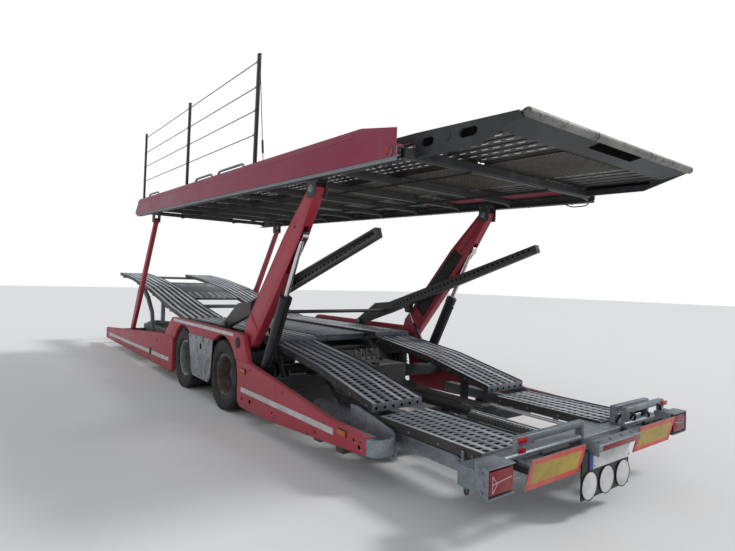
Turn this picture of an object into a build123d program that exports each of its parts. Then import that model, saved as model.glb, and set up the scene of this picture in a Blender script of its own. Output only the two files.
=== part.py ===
# Two-deck car transporter trailer with a pair of centre axles, parked on its wheels and jack leg.
# Millimetres. +X is forward, +Y is the left side, +Z is up and the floor is at Z = 0.
# Places along X are measured from the rear axle, and each finished piece is then moved by
# middle_x, so that the whole trailer stands centred over the origin.

import os
from math import cos, hypot, radians, sin, tan

from build123d import *

os.makedirs("parts", exist_ok=True)

# Overall
half_width = 1250
tail_x = -3940
eye_front_x = 7950
middle_x = (tail_x + eye_front_x) / 2
seat_gap = 0.3
sides = (1, -1)

# Wheels and axles
wheel_d = 800
wheel_r = wheel_d / 2
axle_gap = 1420
axle_places = (axle_gap, 0)
tyre_width = 235
twin_spacing = 265
tyre_outer_y = half_width - 15
tyre_inner_y = tyre_outer_y - twin_spacing - tyre_width
tyre_shoulder = 34
rim_seat_r = 222
rim_flange_r = 242
rim_width = 172
rim_wall = 12
rim_lip = 8
disc_wall = 14
disc_flat_r = 160
disc_rim_width = 52
hand_hole_r = 20
hand_hole_count = 8
hub_nose_r = 85
hub_nose_length = 120
hub_cap = 12
brake_drum_r = 190
brake_drum_wall = 16
brake_drum_length = 190
spindle_r = 45
axle_beam_r = 63
axle_beam_half = tyre_inner_y - 35
twin_join_y = tyre_outer_y - (tyre_width + twin_spacing) / 2

# Main frame
rail_inner_y = half_width - 870
rail_outer_y = half_width - 750
rail_rear_x = -2500
rail_front_x = 6700
rail_low_z = 220
rail_front_top_z = 420
rail_rear_top_z = 360
rail_over_axle_z = (560, 780)
sill_inner_y = half_width - 60
cross_top_z = 270

# Side panels
arch_clearance_r = 450
sill_top_z = 630
sill_bottom_z = 140
sill_front_x = 6800
sill_front_top_z = 340
arch_top_z = 920
panel_rear_x = -2760
panel_rear_z = (270, 395)

# Lower tracks
track_inner_y = 430
track_outer_y = half_width - 290
track_depth = 45
track_rib_count = 6
track_rib_width = 66
track_tie = 50
track_tie_depth = 10
deck_top_z = 880
deck_x = (-690, 2080)

# Slide beams of the extension
slide_y = (half_width - 420, half_width - 320)
slide_z = (285, 385)
beam_rear_x = tail_x + 240
beam_front_x = tail_x + 370
slide_x = (beam_rear_x, -1500)
shoe_places = (-2400, -2060)

# Arms, lift cylinders and upper deck
arm_pin_r = 35
arm_y = (half_width - 165, half_width - 75)
rear_arm_base = (-500, 820)
rear_arm_top = (-1800, 2300)
front_arm_y = (half_width - 150, half_width - 90)
front_arm_base = (4900, 450)
front_arm_top = (3450, 2430)
lift_base = (-890, 570)
lift_eye = (-1580, 1910)
lift_pin_r = 20
deck_slope = 2.0


def save(name, builder):
    """Label a finished piece, centre it over the origin and write it."""
    part = builder.part.moved(Location((-middle_x, 0, 0)))
    part.label = name
    export_step(part, f"parts/{name}.step")


def side_y(side, low, high):
    """The lowest and highest Y of a strip that lies from low to high on one side."""
    return (low, high) if side > 0 else (-high, -low)


def side_view(points, y):
    """A closed outline of (x, z) points on the upright plane at y, facing -Y."""
    with BuildSketch(Plane.XZ.offset(-y)) as sketch:
        with BuildLine():
            Polyline(*points, close=True)
        make_face()
    return sketch.sketch


def slab(points, y, mode=Mode.ADD):
    """An upright plate with an (x, z) outline, from the lowest to the highest y."""
    extrude(side_view(points, y[1]), amount=y[1] - y[0], mode=mode)


def block(x, y, z, mode=Mode.ADD):
    """A plain block from its lowest and highest x, y and z."""
    with Locations(((x[0] + x[1]) / 2, (y[0] + y[1]) / 2, (z[0] + z[1]) / 2)):
        Box(x[1] - x[0], y[1] - y[0], z[1] - z[0], mode=mode)


def cross_pin(place, y, radius, mode=Mode.ADD):
    """A round bar along Y at an (x, z) place, from the lowest to the highest y."""
    with Locations(Location((place[0], (y[0] + y[1]) / 2, place[1]), (90, 0, 0))):
        Cylinder(radius, y[1] - y[0], mode=mode)


def long_bar(x, y, z, radius, mode=Mode.ADD):
    """A round bar along X."""
    with Locations(Location(((x[0] + x[1]) / 2, y, z), (0, 90, 0))):
        Cylinder(radius, x[1] - x[0], mode=mode)


def bar_plane(start, end, y):
    """A plane at start whose normal runs along a bar to end, both (x, z) points at y."""
    return Plane(
        origin=(start[0], y, start[1]),
        x_dir=(0, 1, 0),
        z_dir=(end[0] - start[0], 0, end[1] - start[1]),
    )


def height_at(line, x):
    """The height at x of a line through (x, z) points in order along X."""
    for (x0, z0), (x1, z1) in zip(line, line[1:]):
        if x <= x1:
            break
    return z0 + (x - x0) / (x1 - x0) * (z1 - z0)


def under_track(line, x, y, depth):
    """A flat bar across a track's underside, from the lowest to the highest x and y."""
    tops = [(place, height_at(line, place) - track_depth) for place in x]
    slab(tops + [(place, z - depth) for place, z in reversed(tops)], y)


def track(line, y, ties):
    """Ribs side by side along a track, whose top runs through (x, z) points, on cross ties."""
    pitch = (y[1] - y[0] - track_rib_width) / (track_rib_count - 1)
    under = [(x, z - track_depth) for x, z in reversed(line)]
    for rib in range(track_rib_count):
        low = y[0] + pitch * rib
        slab(line + under, (low, low + track_rib_width))
    for x in ties:
        tops = [(place, height_at(line, place) - track_depth) for place in (x, x + track_tie)]
        slab([(place, z + track_tie_depth) for place, z in tops] + list(reversed(tops)), y)


# Wheels: twin tyres on deep dished rims, whose discs meet at the hub
wheel_table = [
    # name, axle x, side
    ("front_left", axle_gap, 1),
    ("front_right", axle_gap, -1),
    ("rear_left", 0, 1),
    ("rear_right", 0, -1),
]
bead = (tyre_width - rim_width) / 2 + rim_lip + seat_gap
widest_r = wheel_r - 85
for name, axle_x, side in wheel_table:
    wheel_plane = Plane(origin=(axle_x, 0, wheel_r), x_dir=(0, side, 0), z_dir=(side, 0, 0))
    axle_line = Axis((axle_x, 0, wheel_r), (0, 1, 0))
    with BuildPart() as tyres:
        for place in (0, 1):
            outer = tyre_outer_y - place * twin_spacing
            inner = outer - tyre_width
            with BuildSketch(wheel_plane):
                with BuildLine():
                    Polyline(
                        (inner + bead, rim_flange_r + seat_gap),
                        (inner + bead, rim_seat_r + seat_gap),
                        (outer - bead, rim_seat_r + seat_gap),
                        (outer - bead, rim_flange_r + seat_gap),
                    )
                    ThreePointArc(
                        (outer - bead, rim_flange_r + seat_gap),
                        (outer, widest_r),
                        (outer - 14, wheel_r - tyre_shoulder),
                    )
                    Polyline(
                        (outer - 14, wheel_r - tyre_shoulder),
                        (outer - tyre_shoulder, wheel_r - 4),
                        ((outer + inner) / 2, wheel_r),
                        (inner + tyre_shoulder, wheel_r - 4),
                        (inner + 14, wheel_r - tyre_shoulder),
                    )
                    ThreePointArc(
                        (inner + 14, wheel_r - tyre_shoulder),
                        (inner, widest_r),
                        (inner + bead, rim_flange_r + seat_gap),
                    )
                make_face()
            revolve(axis=axle_line, revolution_arc=360)
    save(f"tyres_{name}", tyres)

    bore_r = spindle_r + seat_gap
    with BuildPart() as rims:
        with BuildSketch(wheel_plane):
            for place in (0, 1):
                rim_mid = tyre_outer_y - tyre_width / 2 - place * twin_spacing
                with Locations((rim_mid, rim_seat_r - rim_wall / 2)):
                    Rectangle(rim_width, rim_wall)
                for end in (-1, 1):
                    lip_height = rim_flange_r - rim_seat_r + rim_wall
                    with Locations(
                        (rim_mid + end * (rim_width - rim_lip) / 2, rim_flange_r - lip_height / 2)
                    ):
                        Rectangle(rim_lip, lip_height)
            # the two discs, flat at the hub and coned out to the rims
            for way in (1, -1):
                with BuildLine():
                    Polyline(
                        (twin_join_y, bore_r),
                        (twin_join_y + way * disc_wall, bore_r),
                        (twin_join_y + way * disc_wall, disc_flat_r),
                        (twin_join_y + way * (disc_rim_width + disc_wall), rim_seat_r - rim_wall),
                        (twin_join_y + way * disc_rim_width, rim_seat_r - rim_wall + 1),
                        (twin_join_y, disc_flat_r + 6),
                        close=True,
                    )
                make_face()
            # hub nose with its cap
            nose_y = twin_join_y + hub_nose_length / 2
            with Locations((nose_y, (hub_nose_r + bore_r) / 2)):
                Rectangle(hub_nose_length, hub_nose_r - bore_r)
            with Locations((twin_join_y + hub_nose_length + hub_cap / 2, hub_nose_r / 2)):
                Rectangle(hub_cap, hub_nose_r)
            # brake drum inside the inner wheel
            drum_end = twin_join_y - disc_wall
            with Locations((drum_end - brake_drum_length / 2, brake_drum_r - brake_drum_wall / 2)):
                Rectangle(brake_drum_length, brake_drum_wall)
            with Locations((drum_end - disc_wall / 2, (brake_drum_r + bore_r) / 2)):
                Rectangle(disc_wall, brake_drum_r - bore_r)
        revolve(axis=axle_line, revolution_arc=360)
        hole_ring = Plane(
            origin=(axle_x, side * (twin_join_y + disc_wall), wheel_r),
            x_dir=(1, 0, 0),
            z_dir=(0, side, 0),
        )
        with BuildSketch(hole_ring):
            with PolarLocations((disc_flat_r + rim_seat_r) / 2, hand_hole_count):
                Circle(hand_hole_r)
        extrude(amount=2 * disc_rim_width, mode=Mode.SUBTRACT)
    save(f"rims_{name}", rims)

# Axles: a tube between the brakes and a spindle into each hub
spindle_half = twin_join_y + hub_nose_length - 10
with BuildPart() as axles:
    for axle_x in axle_places:
        cross_pin((axle_x, wheel_r), (-axle_beam_half, axle_beam_half), axle_beam_r)
        cross_pin((axle_x, wheel_r), (-spindle_half, spindle_half), spindle_r)
save("axles", axles)

# Suspension: hanger, trailing arm over the axle and an air spring behind it, beside each rail
hanger_x = (430, 530)
hanger_outer_y = tyre_inner_y - 75
spring_place = (-320, tyre_inner_y - 135)
trailing_arm_y = (tyre_inner_y - 205, tyre_inner_y - 95)
spring_r = 92
arm_low_z = wheel_r + axle_beam_r + seat_gap
arm_high_z = arm_low_z + 60
spring_plate_z = (690, 715)
with BuildPart() as suspension:
    for axle_x in axle_places:
        for side in sides:
            outer = side_y(side, rail_outer_y, hanger_outer_y)
            low_x = axle_x + hanger_x[0]
            high_x = axle_x + hanger_x[1]
            block((low_x, high_x), outer, (arm_low_z - 60, spring_plate_z[1]))
            block((axle_x - 420, high_x), side_y(side, *trailing_arm_y), (arm_low_z, arm_high_z))
            with Locations(
                (
                    axle_x + spring_place[0],
                    side * spring_place[1],
                    (arm_high_z + spring_plate_z[0]) / 2,
                )
            ):
                Cylinder(spring_r, spring_plate_z[0] - arm_high_z)
            block((axle_x - 420, axle_x - 220), outer, spring_plate_z)
save("suspension", suspension)

# Main rails, cranked up over the axles
rail_outline = [
    (rail_rear_x, rail_low_z),
    (-1350, rail_low_z),
    (-850, rail_over_axle_z[0]),
    (2150, rail_over_axle_z[0]),
    (2650, rail_low_z),
    (rail_front_x, rail_low_z),
    (rail_front_x, rail_front_top_z),
    (2950, rail_front_top_z),
    (2400, rail_over_axle_z[1]),
    (-600, rail_over_axle_z[1]),
    (-1250, rail_rear_top_z),
    (rail_rear_x, rail_rear_top_z),
]
with BuildPart() as main_rails:
    for side in sides:
        slab(rail_outline, side_y(side, rail_inner_y, rail_outer_y))
save("main_rails", main_rails)

# Cross members between the rails and out to the sills
cross_width = 100
cross_table = [
    # lowest x, lowest z, highest z
    (shoe_places[0], cross_top_z - 100, cross_top_z),
    (shoe_places[1], cross_top_z - 100, cross_top_z),
    (-1080, 400, 520),
    (-590, 600, 720),
    (2180, 600, 720),
    (2900, 240, 400),
    (3900, 240, 400),
    (4850, 240, 360),
    (5750, 240, 330),
    (rail_front_x - cross_width, 240, 320),
]
with BuildPart() as cross_members:
    for x, low_z, high_z in cross_table:
        between = (seat_gap - rail_inner_y, rail_inner_y - seat_gap)
        block((x, x + cross_width), between, (low_z, high_z))
        for side in sides:
            outside = side_y(side, rail_outer_y + seat_gap, sill_inner_y)
            block((x, x + cross_width), outside, (low_z, high_z))
save("cross_members", cross_members)

# Drawbar: two legs that close in on the towing eye, with a plate for the jack
drawbar_z = (260, 400)
eye_r = 60
eye_bore_r = 25
eye_depth = 50
eye_x = eye_front_x - eye_r
eye_z = sum(drawbar_z) / 2
jack_plate_x = (6900, 7000)
with BuildPart() as drawbar:
    for side in sides:
        with BuildSketch(Plane.XY.offset(drawbar_z[0])):
            with BuildLine():
                Polyline(
                    (rail_front_x + seat_gap, side * rail_inner_y),
                    (rail_front_x + seat_gap, side * rail_outer_y),
                    (eye_x - 180, side * 90),
                    (eye_x - 180, 0),
                    (eye_x - 320, 0),
                    close=True,
                )
            make_face()
        extrude(amount=drawbar_z[1] - drawbar_z[0])
    block(jack_plate_x, (-290, 290), drawbar_z)
    block((eye_x - 320, eye_x - 40), (-55, 55), (eye_z - 40, eye_z + 40))
    with Locations((eye_x, 0, eye_z)):
        Cylinder(eye_r, eye_depth)
        Cylinder(eye_bore_r, eye_depth, mode=Mode.SUBTRACT)
save("drawbar", drawbar)

# Jack leg inside the drawbar, wound down to the floor
jack_half = 40
jack_inner_half = 30
jack_x = jack_plate_x[1] + jack_half
jack_top_z = 860
foot_half = 110
with BuildPart() as jack:
    block((jack_plate_x[1], jack_x + jack_half), (-jack_half, jack_half), (drawbar_z[0], jack_top_z))
    inner = (-jack_inner_half, jack_inner_half)
    block((jack_x - jack_inner_half, jack_x + jack_inner_half), inner, (20, drawbar_z[0]))
    block((jack_x - foot_half, jack_x + foot_half), (-foot_half, foot_half), (0, 22))
    cross_pin((jack_x, jack_top_z - 60), (-150, -jack_half), 10)
    block((jack_x - 10, jack_x + 10), (-160, -150), (jack_top_z - 200, jack_top_z - 50))
save("jack_leg", jack)

# Side panels: front sill, arch panel over both wheels and rear sill, on each side
panel_y = (sill_inner_y, half_width)
front_sill_outline = [
    (sill_front_x, sill_bottom_z),
    (sill_front_x, sill_front_top_z),
    (2450, sill_top_z),
    (1900, sill_top_z),
    (1900, sill_bottom_z + 20),
    (1960, sill_bottom_z),
]
arch_outline = [
    (2330, sill_top_z + seat_gap),
    (1960, arch_top_z - 10),
    (1900, arch_top_z),
    (-420, arch_top_z),
    (-590, arch_top_z - 20),
    (-720, sill_top_z + seat_gap),
]
rear_sill_outline = [
    (-400, sill_top_z),
    (-720, sill_top_z),
    (-2300, 415),
    (panel_rear_x, panel_rear_z[1]),
    (panel_rear_x, panel_rear_z[0]),
    (-1300, 165),
    (-560, 150),
    (-480, 190),
]
across = (-2 * half_width, 2 * half_width)
with BuildPart() as front_sills:
    for side in sides:
        slab(front_sill_outline, side_y(side, *panel_y))
    cross_pin((axle_gap, wheel_r), across, arch_clearance_r + 15, Mode.SUBTRACT)
save("front_sills", front_sills)

arch_gap_top_z = 760
with BuildPart() as arch_panels:
    for side in sides:
        slab(arch_outline, side_y(side, *panel_y))
    for axle_x in axle_places:
        cross_pin((axle_x, wheel_r), across, arch_clearance_r, Mode.SUBTRACT)
    block((0, axle_gap), across, (sill_top_z - 10, arch_gap_top_z), Mode.SUBTRACT)
save("arch_panels", arch_panels)

with BuildPart() as rear_sills:
    for side in sides:
        slab(rear_sill_outline, side_y(side, *panel_y))
    cross_pin((0, wheel_r), across, arch_clearance_r + 15, Mode.SUBTRACT)
save("rear_sills", rear_sills)

# Guard plates: in the gap between the wheels, and above the tyres beside the tracks
gap_plate_y = (half_width - 8, half_width)
gap_plate_outline = [
    (1180, arch_gap_top_z),
    (300, arch_gap_top_z),
    (350, 320),
    (430, 240),
    (980, 240),
    (1060, 320),
]
fender_z = (832, 842)
with BuildPart() as guard_plates:
    for side in sides:
        slab(gap_plate_outline, side_y(side, *gap_plate_y))
        block((675, 745), side_y(side, *gap_plate_y), (605, 675), Mode.SUBTRACT)
        block((-300, 2050), side_y(side, track_outer_y + 6, sill_inner_y), fender_z)
save("guard_plates", guard_plates)

# Rear ends of the sills: short bent brackets that turn in and run forward as an inner wall
bracket_wall = 16
bracket_inner_y = half_width - 262
bracket_floor_z = (panel_rear_z[0] + 2, panel_rear_z[0] + 12)
bracket_bend = [
    # back from the sill's end, in from the half width
    (0, 5),
    (50, 15),
    (85, 50),
    (100, 110),
    (90, 180),
    (50, 240),
    (20, 262),
    (8, 262 - bracket_wall),
    (34, 226),
    (69, 172),
    (78, 110),
    (65, 64),
    (38, 55),
    (0, 55),
]
wall_outline = [
    (panel_rear_x - 20, panel_rear_z[0] + 2),
    (panel_rear_x - 20, panel_rear_z[1] + 5),
    (-2740, 420),
    (-2320, 500),
    (-2220, 500),
    (-2220, 300),
    (-2320, panel_rear_z[0] + 2),
]
ear_hole = (panel_rear_x - 44, 248, 10)
with BuildPart() as sill_brackets:
    for side in sides:
        with BuildSketch(Plane.XY.offset(bracket_floor_z[0])):
            with BuildLine():
                bend = []
                for back, inward in bracket_bend:
                    bend.append((panel_rear_x - back, side * (half_width - inward)))
                Polyline(*bend, close=True)
            make_face()
        extrude(amount=118)
        slab(wall_outline, side_y(side, bracket_inner_y, bracket_inner_y + bracket_wall))
        # floor with a window, which ties the inner wall to the sill
        block((panel_rear_x - 30, -2240), side_y(side, bracket_inner_y, sill_inner_y), bracket_floor_z)
        window_y = side_y(side, bracket_inner_y + 50, sill_inner_y - 40)
        block((-2620, -2330), window_y, bracket_floor_z, Mode.SUBTRACT)
        # ear with a hole for a lashing hook
        ear_y = side_y(side, bracket_inner_y + 22, bracket_inner_y + 36)
        block((panel_rear_x - 70, panel_rear_x - 15), ear_y, (225, 330))
        cross_pin(ear_hole[:2], ear_y, ear_hole[2], Mode.SUBTRACT)
save("sill_brackets", sill_brackets)

# Tracks over the axles, and the cover between them, on bars across the rails
deck_line = [(deck_x[0], deck_top_z), (deck_x[1], deck_top_z)]
deck_ties = (-690, -100, 480, 1000, 1500, 2030)
deck_bar_x = (-450, 700, 1900)
with BuildPart() as deck_tracks:
    for side in sides:
        track(deck_line, side_y(side, track_inner_y, track_outer_y), deck_ties)
save("axle_deck_tracks", deck_tracks)

cover_half = track_inner_y - 4
with BuildPart() as axle_cover:
    block((-500, 2000), (-cover_half, cover_half), (deck_top_z - 30, deck_top_z - 15))
    for x in deck_bar_x:
        bar_top = deck_top_z - track_depth
        block((x, x + 60), (40 - track_outer_y, track_outer_y - 40), (rail_over_axle_z[1], bar_top))
        block((x, x + 60), (-cover_half, cover_half), (rail_over_axle_z[1], deck_top_z - 30))
save("axle_deck_cover", axle_cover)

# Middle tracks slope down behind the axles
mid_track_line = [(-2450, 535), (-1600, 715), (-710, 830)]
mid_ties = (-2450, -2040, -1600, -1060, -760)
with BuildPart() as mid_tracks:
    for side in sides:
        track(mid_track_line, side_y(side, track_inner_y, track_outer_y), mid_ties)
save("mid_tracks", mid_tracks)

# Hydraulic unit between the tracks
with BuildPart() as hydraulics:
    block((-1500, -1120), (160 - rail_inner_y, rail_inner_y - 160), (430, 640))
    block((-1500, -1400), (-rail_inner_y, rail_inner_y), (300, 430))
    cross_pin((-880, 610), (100 - rail_inner_y, rail_inner_y - 100), 110)
    block((-1120, -880), (-60, 60), (520, 600))
save("hydraulic_unit", hydraulics)

# Front platform: tracks that climb forward over the towing vehicle's tail, a plate between
# them, bars under them, knuckles on the hinge and two bent legs
platform_line = [(2120, 880), (2900, 1000), (4400, 1290), (5600, 1450), (6800, 1550)]
platform_outer_y = track_outer_y + 40
platform_ties = (2120, 2850, 3600, 4350, 5100, 5850, 6750)
platform_hinge = (2150, 800)
hinge_pin_r = 15
knuckle_places = (track_inner_y + 130, track_outer_y - 80)
knuckle_half = 25
hinge_lug_gap = 6
hinge_lug = 12
with BuildPart() as platform_tracks:
    for side in sides:
        track(platform_line, side_y(side, track_inner_y, platform_outer_y), platform_ties)
save("platform_tracks", platform_tracks)

plate_x = (3550, 5100)
plate_sheet = 8
plate_line = [
    (plate_x[0], height_at(platform_line, plate_x[0])),
    platform_line[2],
    (plate_x[1], height_at(platform_line, plate_x[1])),
]
platform_bar_x = (2250, 3200, 4100, 5300, 6600)
leg_y = (track_outer_y - 25, track_outer_y + 25)
leg_foot_z = 520
with BuildPart() as platform_frame:
    plate_under = [(x, z - plate_sheet) for x, z in reversed(plate_line)]
    slab(plate_line + plate_under, (-track_inner_y, track_inner_y))
    for x in (plate_x[0] + 50, plate_x[1] - 100):
        under = [(place, height_at(platform_line, place) - plate_sheet) for place in (x, x + 60)]
        lower = [(place, z - track_depth + plate_sheet) for place, z in reversed(under)]
        slab(under + lower, (-track_inner_y, track_inner_y))
    for x in platform_bar_x:
        under_track(platform_line, (x, x + 60), (20 - platform_outer_y, platform_outer_y - 20), 50)
    for side in sides:
        for place in knuckle_places:
            knuckle_y = side_y(side, place - knuckle_half, place + knuckle_half)
            under_track(platform_line, (2125, 2175), knuckle_y, 40)
            cross_pin(platform_hinge, knuckle_y, 30)
            cross_pin(platform_hinge, knuckle_y, hinge_pin_r + seat_gap, Mode.SUBTRACT)
        leg_top = [(x, height_at(platform_line, x) - track_depth) for x in (4900, 5000)]
        leg_outline = leg_top + [
            (4900, 1210),
            (4550, 1060),
            (4240, 820),
            (4140, leg_foot_z),
            (4060, leg_foot_z),
            (4160, 850),
            (4480, 1120),
        ]
        slab(leg_outline, side_y(side, *leg_y))
save("platform_frame", platform_frame)

# Swing frame over the axle deck: two channels on cranked legs, with a cross bar
swing_pivot = (430, 930)
swing_pin_r = 15
swing_y = half_width - 230
swing_half = 30
channel_wall = 8
swing_outline = [
    (480, 900),
    (480, 960),
    (60, 1210),
    (-250, 1240),
    (-2540, 1925),
    (-2565, 1850),
    (-260, 1090),
    (-120, 1050),
    (380, 895),
]
channel_hollow = [(-300, 1238), (-2520, 1905), (-2543, 1868), (-300, 1122)]
strut_top = (-620, 1150)
strut_base = (-930, 690)
strut_lug = 10
with BuildPart() as swing_frame:
    for side in sides:
        channel_y = side_y(side, swing_y - swing_half, swing_y + swing_half)
        slab(swing_outline, channel_y)
        hollow_y = side_y(side, swing_y - swing_half + channel_wall, swing_y + swing_half)
        slab(channel_hollow, hollow_y, Mode.SUBTRACT)
        cross_pin(swing_pivot, channel_y, swing_pin_r + seat_gap, Mode.SUBTRACT)
        # fork for the strut's eye
        for low in (swing_y - swing_half, swing_y + swing_half - strut_lug):
            fork = [(-560, 1192), (-680, 1232), (-650, 1120), (-590, 1120)]
            slab(fork, side_y(side, low, low + strut_lug))
    cross_pin((-190, 1120), (swing_half - swing_y, swing_y - swing_half), 22)
save("swing_frame", swing_frame)

# Brackets on the cross members: shoes of the slide beams, posts of the middle tracks, and the
# lugs and pins of every cylinder, arm and hinge
strut_pin_r = 10
mid_post_y = (track_inner_y + 130, track_inner_y + 190)
mid_post_width = 60
mid_post_table = [
    # lowest x, foot z
    (-2040, cross_top_z),
    (-1060, 520),
]
lift_lug_y = (arm_y[0] - 35, arm_y[0] - 23)
with BuildPart() as pivot_brackets:
    for side in sides:
        shoe_y = side_y(side, slide_y[0] - 10, slide_y[1] + 10)
        for x in shoe_places:
            block((x, x + cross_width), shoe_y, (cross_top_z, slide_z[0] - seat_gap))
        for x, foot_z in mid_post_table:
            end = x + mid_post_width
            tops = [(place, height_at(mid_track_line, place) - track_depth) for place in (x, end)]
            slab([(x, foot_z)] + tops + [(end, foot_z)], side_y(side, *mid_post_y))
        lug = [(-980, 440), (-980, 520), (-930, 620), (-850, 620), (-850, 500), (-900, 440)]
        slab(lug, side_y(side, *lift_lug_y))
        cross_pin(lift_base, side_y(side, lift_lug_y[0], sill_inner_y), lift_pin_r)
        for place in knuckle_places:
            lug = [(2126, 800), (2174, 800), (2240, 720), (2180, 720), (2180, 680), (2126, 740)]
            for way in (-1, 1):
                middle = place + way * (knuckle_half + hinge_lug_gap + hinge_lug / 2)
                lug_y = side_y(side, middle - hinge_lug / 2, middle + hinge_lug / 2)
                slab(lug, lug_y)
                cross_pin(platform_hinge, lug_y, 24)
            reach = knuckle_half + hinge_lug_gap + hinge_lug
            cross_pin(platform_hinge, side_y(side, place - reach, place + reach), hinge_pin_r)
        for low in (swing_y - swing_half - 17, swing_y + swing_half + 5):
            block((380, 480), side_y(side, low, low + 12), (fender_z[1], 960))
        swing_pin_y = side_y(side, swing_y - swing_half - 17, swing_y + swing_half + 17)
        cross_pin(swing_pivot, swing_pin_y, swing_pin_r)
        strut_lug_y = (swing_y - 35, swing_y - 23)
        slab([(-1060, 520), (-980, 520), (-890, 650), (-890, 720), (-960, 720)], side_y(side, *strut_lug_y))
        cross_pin(strut_base, side_y(side, strut_lug_y[0], swing_y + 25), strut_pin_r)
        x, z = rear_arm_base
        cross_pin(rear_arm_base, side_y(side, arm_y[0] - 25, sill_inner_y), arm_pin_r)
        block((x - 80, x + 20), side_y(side, arm_y[0] - 25, arm_y[0] - 10), (720, 860))
        x, z = front_arm_base
        cross_pin(front_arm_base, side_y(side, front_arm_y[0] - 30, sill_inner_y), arm_pin_r)
        block((x - 50, x + 50), side_y(side, front_arm_y[0] - 30, front_arm_y[0] - 10), (360, 500))
save("pivot_brackets", pivot_brackets)

# Struts of the swing frame
strut_length = hypot(strut_top[0] - strut_base[0], strut_top[1] - strut_base[1])
strut_r = 18
strut_rod_r = 10
strut_barrel_length = 330
with BuildPart() as strut_barrels:
    for side in sides:
        plane = bar_plane(strut_base, strut_top, side * swing_y)
        with BuildSketch(plane):
            Circle(strut_r)
        extrude(amount=strut_barrel_length)
        with BuildSketch(plane.offset(40)):
            Circle(strut_rod_r + seat_gap)
        extrude(amount=strut_barrel_length, mode=Mode.SUBTRACT)
        eye_y = side_y(side, swing_y - 19, swing_y + 19)
        cross_pin(strut_base, eye_y, 26)
        cross_pin(strut_base, eye_y, strut_pin_r + seat_gap, Mode.SUBTRACT)
save("strut_barrels", strut_barrels)

strut_rod_start = 250
with BuildPart() as strut_rods:
    for side in sides:
        with BuildSketch(bar_plane(strut_base, strut_top, side * swing_y).offset(strut_rod_start)):
            Circle(strut_rod_r)
        extrude(amount=strut_length - strut_rod_start - 15)
        cross_pin(strut_top, side_y(side, swing_y - 12, swing_y + 12), 20)
save("strut_rods", strut_rods)

# Rear extension: tracks, slide beams and the tail beam move together behind the middle tracks
extension_line = [(tail_x + 380, 460), (-2540, 460)]
extension_ties = (tail_x + 380, tail_x + 740, -2880, -2590)
with BuildPart() as tail_tracks:
    for side in sides:
        track(extension_line, side_y(side, track_inner_y, track_outer_y), extension_ties)
save("tail_tracks", tail_tracks)

tail_beam_x = (beam_rear_x, beam_front_x)
tail_beam_z = (330, 455)
tail_beam_half = half_width - 70
lamp_y = (half_width - 240, half_width - 5)
lamp_x = (tail_x + 110, tail_x + 185)
lamp_z = (345, 510)
housing_outline = [
    (lamp_x[0], lamp_z[0]),
    (lamp_x[0], lamp_z[1]),
    (lamp_x[1], lamp_z[1]),
    (lamp_x[1], lamp_z[0] + 80),
    (lamp_x[1] - 20, lamp_z[0] + 28),
    (lamp_x[1] - 46, lamp_z[0]),
]
hoop_tube = 44
hoop_table = [
    # lowest y, highest y, middle x, top z
    (60, half_width - 450, beam_rear_x + 10, 580),
    (80 - half_width, -540, beam_rear_x + 10, 590),
    (150 - half_width, -540, beam_front_x - 30, 585),
]
with BuildPart() as tail_beam:
    for side in sides:
        block(slide_x, side_y(side, *slide_y), slide_z)
        rest_y = side_y(side, track_inner_y + 20, slide_y[1])
        for x in (-2700, tail_x + 440):
            block((x, x + 60), rest_y, (slide_z[1], extension_line[0][1] - track_depth))
        # lamp housings wrap the ends of the beam
        slab(housing_outline, side_y(side, tail_beam_half, lamp_y[1]))
        block((lamp_x[0], tail_beam_x[0]), side_y(side, lamp_y[0], tail_beam_half), lamp_z)
    block(tail_beam_x, (-tail_beam_half, tail_beam_half), tail_beam_z)
    # the plate behind the tracks, between the hoops
    block((tail_beam_x[1], tail_beam_x[1] + 170), (-track_inner_y + 6, track_inner_y - 6), (445, 455))
    for low_y, high_y, x, top_z in hoop_table:
        hoop_x = (x - hoop_tube / 2, x + hoop_tube / 2)
        block(hoop_x, (low_y, high_y), (top_z - hoop_tube, top_z))
        for y in (low_y, high_y - hoop_tube):
            block(hoop_x, (y, y + hoop_tube), (tail_beam_z[0] + 60, top_z))
save("tail_beam", tail_beam)

with BuildPart() as tail_lamps:
    for side in sides:
        block((lamp_x[0] - 20, lamp_x[0]), side_y(side, lamp_y[0] + 10, lamp_y[1] - 8), (355, 500))
save("tail_lamps", tail_lamps)

# Ram that drives the extension, between the tracks
ram_z = 400
ram_rod_r = 20
ram_r = 45
ram_barrel_x = (-2610, -1710)
with BuildPart() as ram_barrel:
    long_bar(ram_barrel_x, 0, ram_z, ram_r)
    block((shoe_places[0], shoe_places[0] + cross_width), (-35, 35), (cross_top_z, ram_z - ram_r + 6))
    bore_x = (ram_barrel_x[0] - 10, ram_barrel_x[1] - 20)
    long_bar(bore_x, 0, ram_z, ram_rod_r + seat_gap, Mode.SUBTRACT)
save("ram_barrel", ram_barrel)

with BuildPart() as ram_rod:
    long_bar((tail_beam_x[1], -2300), 0, ram_z, ram_rod_r)
save("ram_rod", ram_rod)

# Marking boards, plates and light bar behind the tail beam
board_tilt = 14
board_y = (half_width - 893, half_width - 328)
board_height = 198
board_wall = 8
board_top = (tail_x + 48, 517)
board_run = board_height * sin(radians(board_tilt))
board_drop = board_height * cos(radians(board_tilt))
with BuildPart() as boards:
    for side in sides:
        outline = [
            (board_top[0] - board_wall, board_top[1]),
            board_top,
            (board_top[0] + board_run, board_top[1] - board_drop),
            (board_top[0] + board_run - board_wall, board_top[1] - board_drop),
        ]
        slab(outline, side_y(side, *board_y))
save("marking_boards", boards)

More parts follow.
